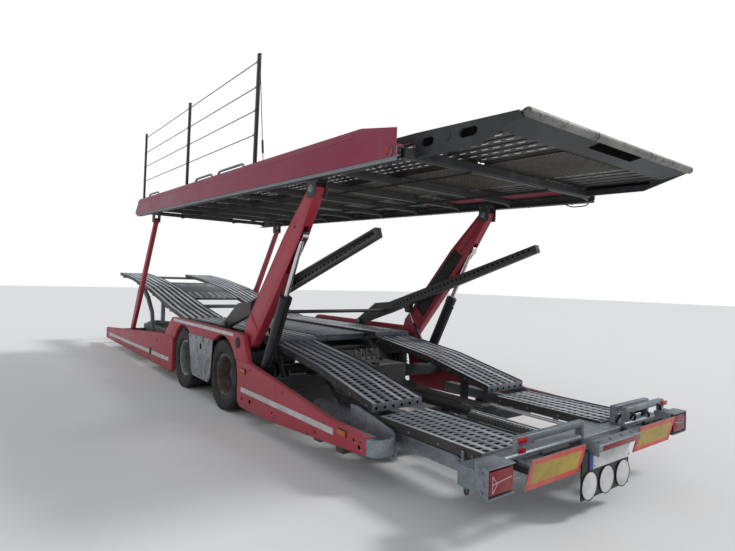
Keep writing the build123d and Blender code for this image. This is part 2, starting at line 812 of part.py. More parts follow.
plates_y = (-250, 270)
holder_x = (tail_x + 70, tail_x + 80)
holder_arm_z = (400, 440)
with BuildPart() as tail_brackets:
    for side in sides:
        for y in (470, 820):
            ends = [(board_top[0] + (board_top[1] - z) * tan(radians(board_tilt)), z) for z in holder_arm_z]
            outline = ends + [(tail_beam_x[0], holder_arm_z[1]), (tail_beam_x[0], holder_arm_z[0])]
            slab(outline, side_y(side, y, y + 40))
    block((holder_x[1], tail_beam_x[0]), (plates_y[0] + 10, plates_y[1]), (370, 385))
    block(holder_x, (plates_y[0], plates_y[1] + 80), (140, tail_beam_z[1]))
save("tail_brackets", tail_brackets)

plate_wall = 6
disc_r = 95
with BuildPart() as blank_plates:
    plate_x = (holder_x[0] - plate_wall, holder_x[0])
    block(plate_x, plates_y, (325, 435))
    for inward in (5, 220, 435):
        long_bar(plate_x, plates_y[1] - inward, 225, disc_r)
save("blank_plates", blank_plates)

with BuildPart() as light_bar:
    bar_y = (plates_y[0] - 40, plates_y[1])
    block((tail_x, holder_x[1] + 15), bar_y, (tail_beam_z[1], tail_beam_z[1] + 45))
save("light_bar", light_bar)


def arm_frame(base, top):
    """The length of an arm, its direction, and the direction across it towards its front."""
    run = (top[0] - base[0], top[1] - base[1])
    length = hypot(*run)
    return length, (run[0] / length, run[1] / length), (run[1] / length, -run[0] / length)


def along(base, direction, across_arm, shape):
    """(x, z) points from a shape of (along the arm, across it towards its front)."""
    return [
        (
            base[0] + direction[0] * u + across_arm[0] * v,
            base[1] + direction[1] * u + across_arm[1] * v,
        )
        for u, v in shape
    ]


# Rear arms: tapered boxes from the arch corner up to the deck, open behind for the lift rods
rear_length, rear_dir, rear_across = arm_frame(rear_arm_base, rear_arm_top)
rear_arm_shape = [
    (-70, -60),
    (-70, 60),
    (120, 140),
    (1350, 125),
    (rear_length, 58),
    (rear_length + 45, 35),
    (rear_length + 45, -35),
    (rear_length, -58),
    (1500, -120),
    (120, -140),
]
lift_slot = [(1080, -300), (1080, 5), (1640, 5), (1640, -300)]
lift_eye_pin_r = 14
lift_slot_half = 35
arm_middle_y = sum(arm_y) / 2
with BuildPart() as rear_arms:
    for side in sides:
        slab(along(rear_arm_base, rear_dir, rear_across, rear_arm_shape), side_y(side, *arm_y))
        for place in (rear_arm_base, rear_arm_top):
            cross_pin(place, side_y(side, *arm_y), arm_pin_r + seat_gap, Mode.SUBTRACT)
        slot_y = side_y(side, arm_middle_y - lift_slot_half, arm_middle_y + lift_slot_half)
        slab(along(rear_arm_base, rear_dir, rear_across, lift_slot), slot_y, Mode.SUBTRACT)
        cross_pin(lift_eye, side_y(side, *arm_y), lift_eye_pin_r)
save("rear_arms", rear_arms)

# Lift cylinders behind the rear arms
lift_length = hypot(lift_eye[0] - lift_base[0], lift_eye[1] - lift_base[1])
barrel_r = 58
rod_r = 25
barrel_length = 850
rod_start = 320
rod_eye_r = 55
rod_eye_bore_r = 41
with BuildPart() as lift_barrels:
    for side in sides:
        plane = bar_plane(lift_base, lift_eye, side * arm_middle_y)
        with BuildSketch(plane.offset(30)):
            Circle(barrel_r)
        extrude(amount=barrel_length - 30)
        with BuildSketch(plane.offset(70)):
            Circle(rod_r + seat_gap)
        extrude(amount=barrel_length, mode=Mode.SUBTRACT)
        eye_y = side_y(side, arm_middle_y - 32, arm_middle_y + 32)
        cross_pin(lift_base, eye_y, 46)
        cross_pin(lift_base, eye_y, lift_pin_r + seat_gap, Mode.SUBTRACT)
save("lift_barrels", lift_barrels)

with BuildPart() as lift_rods:
    for side in sides:
        with BuildSketch(bar_plane(lift_base, lift_eye, side * arm_middle_y).offset(rod_start)):
            Circle(rod_r)
        extrude(amount=lift_length - rod_start - rod_eye_bore_r - 4)
        eye_y = side_y(side, arm_middle_y - rod_r - 4, arm_middle_y + rod_r + 4)
        cross_pin(lift_eye, eye_y, rod_eye_r)
        cross_pin(lift_eye, eye_y, rod_eye_bore_r, Mode.SUBTRACT)
save("lift_rods", lift_rods)

# Front arms: slim posts from the front sills up to the deck
front_length, front_dir, front_across = arm_frame(front_arm_base, front_arm_top)
front_arm_shape = [
    (-60, -45),
    (-60, 60),
    (900, 95),
    (1050, 65),
    (front_length + 40, 40),
    (front_length + 40, -40),
    (1050, -55),
    (900, -75),
]
with BuildPart() as front_arms:
    for side in sides:
        slab(along(front_arm_base, front_dir, front_across, front_arm_shape), side_y(side, *front_arm_y))
        cross_pin(front_arm_base, side_y(side, *front_arm_y), arm_pin_r + seat_gap, Mode.SUBTRACT)
save("front_arms", front_arms)

# Upper deck, drawn along its own slope: u forward of the rear arms' top pin and w above it
slope = radians(deck_slope)
deck_along = (cos(slope), 0, sin(slope))


def deck_view(points, y):
    """A closed outline of (u, w) points on the upright plane at y, facing -Y."""
    plane = Plane(origin=(rear_arm_top[0], y, rear_arm_top[1]), x_dir=deck_along, z_dir=(0, -1, 0))
    with BuildSketch(plane) as sketch:
        with BuildLine():
            Polyline(*points, close=True)
        make_face()
    return sketch.sketch


def deck_slab(points, y, mode=Mode.ADD):
    """A plate with a (u, w) outline, from the lowest to the highest y."""
    extrude(deck_view(points, y[1]), amount=y[1] - y[0], mode=mode)


def deck_strip(u, w, y, mode=Mode.ADD):
    """A straight strip along the deck."""
    deck_slab([(u[0], w[0]), (u[1], w[0]), (u[1], w[1]), (u[0], w[1])], y, mode)


def deck_place(u, w):
    """The (x, z) place of a point on the deck."""
    return (
        rear_arm_top[0] + u * cos(slope) - w * sin(slope),
        rear_arm_top[1] + u * sin(slope) + w * cos(slope),
    )


deck_u = (-1210, 6150)
deck_rail_y = (half_width - 80, half_width)
deck_rail_wall = 10
rail_w = (70, 170)
deck_beam_u = (-1210, -300, 450, 1200, 1950, 2700, 3450, 4200, 5000, 5900)
deck_beam = 50
fork_wall = 14
fork_gap = 6
front_fork_u = 5255
with BuildPart() as deck_frame:
    for side in sides:
        deck_strip(deck_u, rail_w, side_y(side, *deck_rail_y))
        # the rails are channels, open towards the middle
        hollow_w = (rail_w[0] + deck_rail_wall, rail_w[1] - deck_rail_wall)
        hollow_y = side_y(side, deck_rail_y[0], deck_rail_y[1] - deck_rail_wall)
        deck_strip(deck_u, hollow_w, hollow_y, Mode.SUBTRACT)
    beam_half = deck_rail_y[0] - seat_gap
    for u in deck_beam_u:
        deck_strip((u, u + deck_beam), (105, rail_w[1]), (-beam_half, beam_half))
    # forks for the tops of the rear arms, with their pins, and of the front arms
    for side in sides:
        for u, y in ((0, arm_y), (front_fork_u, front_arm_y)):
            fork_y = (y[0] - fork_gap - fork_wall, y[1] + fork_gap + fork_wall)
            for low in (fork_y[0], fork_y[1] - fork_wall):
                deck_strip((u - 70, u + 70), (-70, 115), side_y(side, low, low + fork_wall))
            deck_strip((u - 70, u + 70), (80, 115), side_y(side, fork_y[0], deck_rail_y[1] - 5))
        pin_y = (arm_y[0] - fork_gap - fork_wall, arm_y[1] + fork_gap + fork_wall)
        cross_pin(rear_arm_top, side_y(side, *pin_y), arm_pin_r)
save("upper_deck_frame", deck_frame)

panel_wall = 10
panel_top_w = 355
with BuildPart() as deck_panels:
    for side in sides:
        outline = [
            (deck_u[0], 100),
            (deck_u[0], 290),
            (-800, panel_top_w),
            (5950, panel_top_w),
            (6200, 155),
            (6200, 100),
        ]
        deck_slab(outline, side_y(side, half_width, half_width + panel_wall))
        flange_y = side_y(side, sill_inner_y, half_width - seat_gap)
        deck_strip((deck_u[0], 5950), (rail_w[1], rail_w[1] + 12), flange_y)
save("deck_panels", deck_panels)

# Floors of the upper deck: planks on cross ties over the beams, with an upright guide along
# their outer edge, and a grid of openings between them
floor_y = (450, half_width - 90)
floor_w = (170, 205)
plank_count = 7
plank_gap = 10
tie_w = (floor_w[0], floor_w[0] + 12)
guide_u = (1050, 5900)
guide_top_w = 395
guide_wall = 10
mesh_w = (170, 178)
mesh_y = (4 - floor_y[0], floor_y[0] - 4)
mesh_cells = (18, 5)
mesh_bar = 30
with BuildPart() as deck_floors:
    for side in sides:
        y = side_y(side, floor_y[0], floor_y[1] - guide_wall - seat_gap)
        deck_strip(deck_u, floor_w, y)
        bay_ends = deck_beam_u[1:] + (deck_u[1] - deck_beam,)
        for start, end in zip(deck_beam_u, bay_ends):
            deck_strip((start + deck_beam, end), tie_w, y, Mode.SUBTRACT)
        pitch = (y[1] - y[0]) / plank_count
        for gap in range(1, plank_count):
            low = y[0] + pitch * gap - plank_gap / 2
            deck_strip(deck_u, (tie_w[1], floor_w[1]), (low, low + plank_gap), Mode.SUBTRACT)
        deck_slab(
            [
                (guide_u[0], floor_w[0]),
                (guide_u[0], guide_top_w),
                (guide_u[1] - 300, guide_top_w),
                (guide_u[1], floor_w[1]),
                (guide_u[1], floor_w[0]),
            ],
            side_y(side, floor_y[1] - guide_wall, floor_y[1]),
        )
    deck_strip(deck_u, mesh_w, mesh_y)
    cell_u = (deck_u[1] - deck_u[0] - mesh_bar) / mesh_cells[0]
    cell_y = (mesh_y[1] - mesh_y[0] - mesh_bar) / mesh_cells[1]
    for row in range(mesh_cells[0]):
        low_u = deck_u[0] + mesh_bar + cell_u * row
        for column in range(mesh_cells[1]):
            low_y = mesh_y[0] + mesh_bar + cell_y * column
            opening_y = (low_y, low_y + cell_y - mesh_bar)
            deck_strip((low_u, low_u + cell_u - mesh_bar), mesh_w, opening_y, Mode.SUBTRACT)
save("deck_floors", deck_floors)

# Tail of the upper deck: narrower, with upright side rails that rise to a rolled lip
tail_half = half_width - 170
tail_wall = 20
tail_u = -2130
tail_rail = [
    (deck_u[0], 110),
    (deck_u[0], 285),
    (tail_u + 70, 262),
    (tail_u + 50, 225),
    (-1750, 112),
]
slot_table = [
    # middle u, middle w, length
    (-1330, 205, 120),
    (-1690, 205, 150),
]
slot_height = 60
tail_hole = (-1510, 210, 24)
tail_openings_u = ((-1860, -1500), (-1410, deck_u[0] - 40))
tail_openings_across = 4
tail_opening_y = (-350, 350)
tail_opening_pitch = (tail_opening_y[1] - tail_opening_y[0] + mesh_bar) / tail_openings_across
lip_r = 28
lip_segment = 700
lip_break = 12
with BuildPart() as deck_tail:
    inner_half = tail_half - tail_wall
    for side in sides:
        deck_slab(tail_rail, side_y(side, inner_half, tail_half))
        slot_y = side_y(side, inner_half, tail_half)
        for u, w, length in slot_table:
            half = (length - slot_height) / 2
            slot_w = (w - slot_height / 2, w + slot_height / 2)
            deck_strip((u - half, u + half), slot_w, slot_y, Mode.SUBTRACT)
            for end in (-half, half):
                cross_pin(deck_place(u + end, w), slot_y, slot_height / 2, Mode.SUBTRACT)
        cross_pin(deck_place(*tail_hole[:2]), slot_y, tail_hole[2], Mode.SUBTRACT)
    floor = [
        (deck_u[0], rail_w[1]),
        (-1900, rail_w[1]),
        (tail_u, 228),
        (tail_u, 243),
        (-1900, rail_w[1] + 20),
        (deck_u[0], rail_w[1] + 20),
    ]
    deck_slab(floor, (-inner_half, inner_half))
    for open_u in tail_openings_u:
        for column in range(tail_openings_across):
            low_y = tail_opening_y[0] + tail_opening_pitch * column
            opening_y = (low_y, low_y + tail_opening_pitch - mesh_bar)
            deck_strip(open_u, (rail_w[1], rail_w[1] + 20), opening_y, Mode.SUBTRACT)
    for segment in (-1, 0, 1):
        middle = segment * (lip_segment + lip_break)
        lip_y = (middle - lip_segment / 2, middle + lip_segment / 2)
        cross_pin(deck_place(tail_u + 25, 245), lip_y, lip_r)
save("deck_tail", deck_tail)

lamp_out = half_width + panel_wall
with BuildPart() as deck_lamps:
    for side in sides:
        place = deck_place(deck_u[0] + 60, 140)
        cross_pin(place, side_y(side, lamp_out, lamp_out + 14), 36)
        cross_pin(place, side_y(side, lamp_out + 14, lamp_out + 30), 30)
save("deck_lamps", deck_lamps)

# Guard fence on the left side of the upper deck
post_u = (1150, 3400, 5800)
post_y = (half_width - 50, half_width - 20)
post_half = 25
post_height = 1320
post_foot_w = rail_w[1] + 12
rope_levels = (1255, 990, 745, 490)
rope_r = 5
with BuildPart() as posts:
    for u in post_u:
        deck_strip((u - post_half, u + post_half), (post_foot_w, post_foot_w + post_height), post_y)
save("guard_posts", posts)

with BuildPart() as ropes:
    for level in rope_levels:
        for first, second in zip(post_u, post_u[1:]):
            start = deck_place(first + post_half + seat_gap, post_foot_w + level)
            end = deck_place(second - post_half - seat_gap, post_foot_w + level)
            with BuildSketch(bar_plane(start, end, sum(post_y) / 2)):
                Circle(rope_r)
            extrude(amount=hypot(end[0] - start[0], end[1] - start[1]))
save("guard_ropes", ropes)
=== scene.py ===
# %% [markdown]
# # A two-deck car transporter trailer, dressed over its CAD frame
# The trailer has a lower row of ribbed wheel tracks, a pair of close axles with twin wheels under
# a red arch, and an upper deck that four red arms hold up.

# %% Load the frame
from math import cos, pi, radians, sin

import bmesh
import bpy
from mathutils import Matrix, Vector


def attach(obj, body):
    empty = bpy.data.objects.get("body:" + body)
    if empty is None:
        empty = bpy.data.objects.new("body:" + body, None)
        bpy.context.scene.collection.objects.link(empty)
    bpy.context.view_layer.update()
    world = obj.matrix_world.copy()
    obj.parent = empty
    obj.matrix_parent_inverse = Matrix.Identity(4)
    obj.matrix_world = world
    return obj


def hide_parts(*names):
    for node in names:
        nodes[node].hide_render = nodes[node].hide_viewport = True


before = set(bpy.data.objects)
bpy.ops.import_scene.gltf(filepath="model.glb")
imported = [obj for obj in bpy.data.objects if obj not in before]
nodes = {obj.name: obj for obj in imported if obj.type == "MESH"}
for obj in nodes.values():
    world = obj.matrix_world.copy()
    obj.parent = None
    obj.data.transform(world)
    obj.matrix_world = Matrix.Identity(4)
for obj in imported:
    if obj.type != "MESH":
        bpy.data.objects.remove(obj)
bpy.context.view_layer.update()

# %% [markdown]
# ## Places
# Along the trailer every place is measured from the rear axle, as a builder would do with a tape.
# The frame's own origin is the middle of the footprint, so one number moves the tape's zero there.
# It is added when a mesh is made, which leaves each finished object at the origin, unturned.

# %% Where the tape starts
rear_axle_x = -2.005
half_width = 1.25
sides = (1, -1)


def at(x, y, z):
    """A place measured from the rear axle, the middle line and the floor."""
    return Vector((x + rear_axle_x, y, z))


def span(side, low, high):
    """The lowest and highest Y of a strip on one side."""
    return (low, high) if side > 0 else (-high, -low)


# %% [markdown]
# ## Shaders as sums
# A worn finish is mostly arithmetic: so much dust where a surface faces up, less paint where a
# noise is high. Written as nodes by hand that takes a page for each finish. This small class wraps
# a socket and adds the Math nodes when Python adds or multiplies it, so a finish reads as a sum.


# %% A socket that can be added and multiplied
class Value:
    """One number or colour that varies over a surface."""

    def __init__(self, finish, socket):
        self.finish = finish
        self.socket = socket

    def math(self, operation, *others):
        return self.finish.node("Math", {"operation": operation}, self, *others)

    def __add__(self, other):
        return self.math("ADD", other)

    __radd__ = __add__

    def __sub__(self, other):
        return self.math("SUBTRACT", other)

    def __rsub__(self, other):
        return self.finish.node("Math", {"operation": "SUBTRACT"}, other, self)

    def __mul__(self, other):
        return self.math("MULTIPLY", other)

    __rmul__ = __mul__

    def __truediv__(self, other):
        return self.math("DIVIDE", other)

    def abs(self):
        return self.math("ABSOLUTE")

    def wrap(self, length):
        """The remainder after whole lengths, from 0 to 1."""
        return (self / length).math("FRACT")

    def ramp(self, low, high):
        """0 below low, 1 above high and smooth between."""
        settings = {"interpolation_type": "SMOOTHSTEP"}
        return self.finish.node("MapRange", settings, self, low, high, 0.0, 1.0)


class Finish:
    """A material built from sums of Values around one Principled shader."""

    def __init__(self, name):
        self.material = bpy.data.materials.new(name)
        self.material.use_nodes = True
        self.tree = self.material.node_tree
        self.shader = self.tree.nodes["Principled BSDF"]

    def node(self, kind, settings=None, *values, output=0, **named):
        """Adds any node: its settings first, then a value or a link for each socket in turn."""
        made = self.tree.nodes.new("ShaderNode" + kind)
        for key, value in (settings or {}).items():
            setattr(made, key, value)
        for place, value in enumerate(values):
            self.feed(made.inputs[place], value)
        for name, value in named.items():
            self.feed(made.inputs[name.replace("_", " ")], value)
        return Value(self, made.outputs[output])

    def feed(self, socket, value):
        if isinstance(value, Value):
            self.tree.links.new(value.socket, socket)
        elif isinstance(value, (tuple, list)) and len(value) == 3 and socket.type == "RGBA":
            socket.default_value = (*value, 1.0)
        else:
            socket.default_value = value

    def where(self):
        """The x, y and z of a point on the piece, in metres."""
        point = self.node("TexCoord", {}, output=3)
        split = self.tree.nodes.new("ShaderNodeSeparateXYZ")
        self.tree.links.new(point.socket, split.inputs[0])
        return [Value(self, split.outputs[axis]) for axis in range(3)]

    def stretched(self, x=1.0, y=1.0, z=1.0):
        """The point with each axis scaled, for patterns that run along one of them."""
        point = self.node("TexCoord", {}, output=3)
        return self.node("VectorMath", {"operation": "MULTIPLY"}, point, (x, y, z))

    def noise(self, scale, detail=3.0, rough=0.55, vector=None):
        point = vector or self.node("TexCoord", {}, output=3)
        return self.node("TexNoise", {}, Vector=point, Scale=scale, Detail=detail, Roughness=rough)

    def cells(self, scale, vector=None, output=0):
        point = vector or self.node("TexCoord", {}, output=3)
        return self.node("TexVoronoi", {}, Vector=point, Scale=scale, output=output)

    def up(self):
        """1 where the surface faces straight up and -1 where it faces down."""
        facing = self.node("NewGeometry", {}, output=1)
        split = self.tree.nodes.new("ShaderNodeSeparateXYZ")
        self.tree.links.new(facing.socket, split.inputs[0])
        return Value(self, split.outputs[2])

    def mix(self, share, first, second):
        """A colour between first and second, by the share of second."""
        made = self.tree.nodes.new("ShaderNodeMix")
        made.data_type = "RGBA"
        made.clamp_factor = True
        self.feed(made.inputs[0], share)
        self.feed(made.inputs[6], first)
        self.feed(made.inputs[7], second)
        return Value(self, made.outputs[2])

    def bump(self, height, distance, strength=1.0):
        made = self.tree.nodes.new("ShaderNodeBump")
        made.inputs["Distance"].default_value = distance
        made.inputs["Strength"].default_value = strength
        self.tree.links.new(height.socket, made.inputs["Height"])
        return Value(self, made.outputs[0])

    def set(self, **sockets):
        for name, value in sockets.items():
            self.feed(self.shader.inputs[name.replace("_", " ")], value)
        return self.material


# %% [markdown]
# ## Painted steel
# The red panels are sprayed steel that has stood outdoors: the sun has chalked it in soft clouds,
# rain has drawn pale streaks down it, and stones have chipped it low down. One function makes every
# paint on the trailer, since they age alike, and each gets its own colour, dust and rust. The wear
# is a few noises at different scales, mixed so that the dust lies where the surface looks up.


# %% One function for every paint
lit_flank_depth = 0.007


def painted(name, colour, faded, dust=0.3, rust=0.2, gloss=0.42, lit_flank=None):
    paint = Finish(name)
    clouds = paint.noise(1.7, detail=4).ramp(0.38, 0.7)
    streaks = paint.noise(9.0, detail=3, vector=paint.stretched(1.0, 1.0, 0.09)).ramp(0.5, 0.78)
    speckle = paint.noise(160.0, detail=2).ramp(0.62, 0.72)
    up = paint.up().ramp(0.2, 0.95)
    height = paint.where()[2]
    low_dirt = (1.0 - height.ramp(0.05, 0.75)) * paint.noise(5.0, detail=5).ramp(0.35, 0.75)
    grime = (up * 0.75 + streaks * 0.35 + low_dirt * 0.8) * dust
    chips = paint.noise(34.0, detail=6, rough=0.7).ramp(0.69, 0.715) * rust * 2.2
    body = paint.mix(clouds * 0.55 + speckle * 0.12, colour, faded)
    # lit_flank is painted light: the outward face of a side rail gets a lighter grey than the rest of
    # the same paint, a lit copy beside the darker, shaded one.
    if lit_flank:
        lit_face = paint.where()[1].abs().ramp(half_width - lit_flank_depth, half_width - 0.004)
        body = paint.mix(lit_face, body, lit_flank)
    dusty = paint.mix(grime, body, (0.20, 0.18, 0.155))
    surface = paint.mix(chips, dusty, (0.10, 0.042, 0.022))
    ripple = paint.noise(6.0, detail=2) * 0.6 + paint.noise(90.0, detail=2) * 0.05
    return paint.set(
        Base_Color=surface,
        Roughness=clouds * 0.14 + grime * 0.5 + chips * 0.3 + gloss,
        Normal=paint.bump(ripple - chips * 0.1, 0.006, 0.5),
    )


red_paint = painted("red paint", (0.38, 0.022, 0.043), (0.46, 0.072, 0.098), dust=0.28, rust=0.22)
deck_red_paint = painted(
    "deck red paint", (0.26, 0.020, 0.055), (0.33, 0.055, 0.100), dust=0.25, rust=0.14, gloss=0.36
)
grey_paint = painted(
    "grey paint", (0.115, 0.125, 0.14), (0.20, 0.205, 0.21), dust=0.4, rust=0.5, gloss=0.5
)
dark_paint = painted(
    "dark chassis paint", (0.020, 0.023, 0.028), (0.05, 0.052, 0.056), dust=0.5, rust=0.5, gloss=0.5
)
black_paint = painted(
    "black cylinder paint", (0.008, 0.010, 0.013), (0.020, 0.022, 0.025), dust=0.16, rust=0.1, gloss=0.3
)
# The deck frame paint is dark, with a lighter grey on the side rails' outward face: a lit and a shaded
# copy of one paint, painted light and painted shade.
under_paint = painted(
    "deck frame paint",
    (0.038, 0.036, 0.038),
    (0.075, 0.071, 0.068),
    dust=0.3,
    rust=0.4,
    gloss=0.5,
    lit_flank=(0.22, 0.24, 0.26),
)
swing_paint = painted(
    "swing frame paint", (0.050, 0.046, 0.044), (0.10, 0.092, 0.085), dust=0.35, rust=0.6, gloss=0.5
)
print("paints:", [material.name for material in bpy.data.materials if "paint" in material.name])

# %% [markdown]
# ## Zinc, track steel and wheel steel
# Galvanised steel shows flat crystals that each catch the light a little differently, so its base
# is a cell pattern with one grey for each cell. The tracks are the same sheet after years of tyres:
# polished along the ribs, dark with rubber between them. The rims carry silver paint that lets
# brown rust through, and the rear pair is the worse one in the photograph.


# %% Zinc and the tracks
def zinc(name, shade, wear, rust=0.15, dirt=0.4):
    metal = Finish(name)
    crystal = metal.cells(75.0, output=1)
    grain = metal.node("SeparateColor", {}, crystal)
    cloud = metal.noise(3.0, detail=5).ramp(0.35, 0.7)
    stain = metal.noise(14.0, detail=6, rough=0.65).ramp(0.5, 0.72)
    orange = metal.noise(7.0, detail=7, rough=0.7).ramp(0.63, 0.74) * rust
    plain = metal.mix(grain * 0.5 + cloud * 0.5, shade, wear)
    dirty = metal.mix(stain * dirt + metal.up().ramp(0.3, 1.0) * 0.12, plain, (0.055, 0.055, 0.052))
    surface = metal.mix(orange * 2.0, dirty, (0.16, 0.065, 0.03))
    return metal.set(
        Base_Color=surface,
        Metallic=0.62 - stain * 0.35 - orange * 0.5,
        Roughness=grain * 0.10 + stain * 0.22 + orange * 0.3 + 0.42,
        Normal=metal.bump(grain * 0.25 + metal.noise(40.0, detail=3), 0.0012, 0.4),
    )


galvanised = zinc("galvanised steel", (0.17, 0.195, 0.22), (0.33, 0.365, 0.40))
track_steel = zinc("worn track steel", (0.10, 0.115, 0.13), (0.26, 0.29, 0.32), rust=0.3, dirt=0.6)
# The steel under the deck and on the track flanges is dark partly from grime and partly as painted shade
# of the underside.
grimy_shaded_steel = zinc(
    "dull underside steel", (0.048, 0.044, 0.043), (0.095, 0.088, 0.085), rust=0.5, dirt=0.6
)
mesh_steel = zinc("brownish mesh steel", (0.055, 0.049, 0.038), (0.11, 0.10, 0.080), rust=0.8, dirt=0.5)
weathered_zinc = zinc("weathered zinc", (0.13, 0.125, 0.115), (0.31, 0.30, 0.27), rust=0.3, dirt=0.8)
guard_zinc = zinc("scratched guard zinc", (0.15, 0.16, 0.17), (0.40, 0.42, 0.44), rust=0.35, dirt=0.95)


# %% Wheel steel, silver or rusty
def wheel_steel(name, rusted):
    steel = Finish(name)
    patches = steel.noise(9.0, detail=7, rough=0.68).ramp(0.62 - rusted * 0.3, 0.72 - rusted * 0.2)
    fine = steel.noise(70.0, detail=4).ramp(0.4, 0.7)
    brown = steel.mix(fine, (0.060, 0.036, 0.025), (0.165, 0.105, 0.070))
    silver = steel.mix(fine * 0.5, (0.30, 0.31, 0.32), (0.20, 0.20, 0.20))
    surface = steel.mix(patches, silver, brown)
    dusty = steel.mix(steel.noise(4.0, detail=3).ramp(0.4, 0.8) * 0.35, surface, (0.17, 0.15, 0.13))
    return steel.set(
        Base_Color=dusty,
        Metallic=0.55 - patches * 0.5,
        Roughness=patches * 0.35 + 0.42,
        Normal=steel.bump(fine * patches + steel.noise(25.0) * 0.4, 0.0015, 0.5),
    )


front_rim_steel = wheel_steel("silver rim", 0.35)
rear_rim_steel = wheel_steel("rusty rim", 1.0)

rod_chrome = Finish("polished rod")
scuff = rod_chrome.noise(60.0, detail=3, vector=rod_chrome.stretched(0.2, 1.0, 0.2)).ramp(0.45, 0.8)
rod_chrome.set(
    Base_Color=rod_chrome.mix(scuff, (0.70, 0.71, 0.72), (0.50, 0.50, 0.50)),
    Metallic=1.0,
    Roughness=scuff * 0.25 + 0.14,
)
rod_chrome = rod_chrome.material
print("metals ready")

# %% [markdown]
# ## Rubber, lenses and sheet
# Tyre rubber is nearly black, greyed by road dust in the grooves of its sidewall. The lamps are
# coloured plastic with fine flutes behind a clear face. Reflective sheet, as on the boards and the
# white stripes, is made of tiny cells, so it gets a very fine cell pattern that breaks up its gloss.


# %% Rubber, plastic and reflective sheet
def rubber(name, colour, dusty, amount):
    soft = Finish(name)
    dust = soft.noise(7.0, detail=6, rough=0.65).ramp(0.35, 0.75) * amount
    fine = soft.noise(120.0, detail=3)
    return soft.set(
        Base_Color=soft.mix(dust + soft.up().ramp(0.0, 1.0) * 0.15, colour, dusty),
        Roughness=dust * 0.2 + 0.72,
        Normal=soft.bump(fine, 0.0008, 0.4),
    )


tyre_rubber = rubber("tyre rubber", (0.012, 0.012, 0.013), (0.085, 0.080, 0.072), 0.55)
hose_rubber = rubber("hose rubber", (0.010, 0.010, 0.011), (0.05, 0.048, 0.045), 0.4)
black_plastic = rubber("black plastic", (0.018, 0.018, 0.020), (0.07, 0.07, 0.068), 0.4)


def lens(name, colour, deep, flutes=0.012):
    clear = Finish(name)
    x, y, z = clear.where()
    flute = ((y + x).wrap(flutes) - 0.5).abs() * 2.0
    rows = (z.wrap(flutes * 1.6) - 0.5).abs() * 2.0
    haze = clear.noise(18.0, detail=4).ramp(0.45, 0.8)
    colour_here = clear.mix(flute * 0.5 + rows * 0.25, deep, colour)
    return clear.set(
        Base_Color=clear.mix(haze * 0.10, colour_here, (0.30, 0.27, 0.25)),
        Roughness=haze * 0.2 + 0.16,
        Coat_Weight=0.15,
        Specular_IOR_Level=0.3,
        Normal=clear.bump(flute + rows, 0.0012, 0.5),
    )


red_lens = lens("red lens", (0.32, 0.008, 0.020), (0.11, 0.003, 0.008))
reflector_lens = lens("red reflector", (0.62, 0.020, 0.030), (0.25, 0.006, 0.012))
amber_lens = lens("amber lens", (0.75, 0.20, 0.02), (0.35, 0.07, 0.01), flutes=0.008)
clear_lens = lens("clear lens", (0.62, 0.50, 0.50), (0.34, 0.24, 0.25), flutes=0.007)


def sheet_finish(name, colour, faded, grime=0.35):
    film = Finish(name)
    grit = film.noise(11.0, detail=6, rough=0.62).ramp(0.42, 0.78)
    prism = film.cells(420.0)
    worn = film.mix(film.noise(4.0, detail=3).ramp(0.35, 0.75), colour, faded)
    return film.set(
        Base_Color=film.mix(grit * grime, worn, (0.12, 0.115, 0.105)),
        Roughness=grit * 0.25 + 0.34,
        Specular_IOR_Level=0.3,
        Normal=film.bump(prism, 0.0004, 0.35),
    )


board_yellow = sheet_finish("yellow sheet", (0.45, 0.31, 0.030), (0.33, 0.25, 0.05))
board_red = sheet_finish("red sheet", (0.62, 0.055, 0.045), (0.50, 0.11, 0.09))
white_sheet = sheet_finish("white sheet", (0.62, 0.62, 0.62), (0.50, 0.50, 0.50), grime=0.3)
plate_blue = sheet_finish("blue band", (0.02, 0.06, 0.30), (0.04, 0.09, 0.30), grime=0.2)
plate_black = sheet_finish("black plate", (0.010, 0.010, 0.011), (0.03, 0.03, 0.03), grime=0.3)
wire_rope = zinc("wire rope", (0.020, 0.022, 0.024), (0.06, 0.062, 0.066), rust=0.2, dirt=0.5)

# Holes, slots and recesses get a matte black face: painted shade for the darkness inside them.
hole_shade = Finish("dark hole")
hole_shade.set(
    Base_Color=hole_shade.mix(hole_shade.noise(20.0), (0.003, 0.003, 0.003), (0.012, 0.011, 0.010)),
    Roughness=0.95,
    Specular_IOR_Level=0.0,
)
hole_shade = hole_shade.material
print("materials so far:", len(bpy.data.materials))

# %% [markdown]
# ## Shapes
# Nearly every piece is cut from plate, bent from sheet or turned on a lathe, so three helpers cover
# most of them: a prism from a side view, a rod between two places and a turned ring. A place
# function may lay a prism along a sloping part. Each helper adds to an open bmesh, and one last
# helper closes the mesh, softens its edges and lets it ride on a body.


# %% Helpers that add a shape to a mesh
def walls(mesh, loop, beyond, closed=True):
    """Four-sided faces between two loops with as many corners."""
    for here in range(len(loop) if closed else len(loop) - 1):
        after = (here + 1) % len(loop)
        mesh.faces.new((loop[here], loop[after], beyond[after], beyond[here]))


def prism(mesh, outline, y, place=at):
    """A plate seen from the side: (x, z) corners, from the lowest to the highest y."""
    near = [mesh.verts.new(place(x, y[0], z)) for x, z in outline]
    far = [mesh.verts.new(place(x, y[1], z)) for x, z in outline]
    mesh.faces.new(near)
    mesh.faces.new(far[::-1])
    walls(mesh, near, far)


def rectangle(x, z):
    return [(x[0], z[0]), (x[1], z[0]), (x[1], z[1]), (x[0], z[1])]


def box(mesh, x, y, z, place=at):
    prism(mesh, rectangle(x, z), y, place)


def pair(mesh, outline, y, place=at):
    """The same plate on both sides."""
    for side in sides:
        prism(mesh, outline, span(side, *y), place)


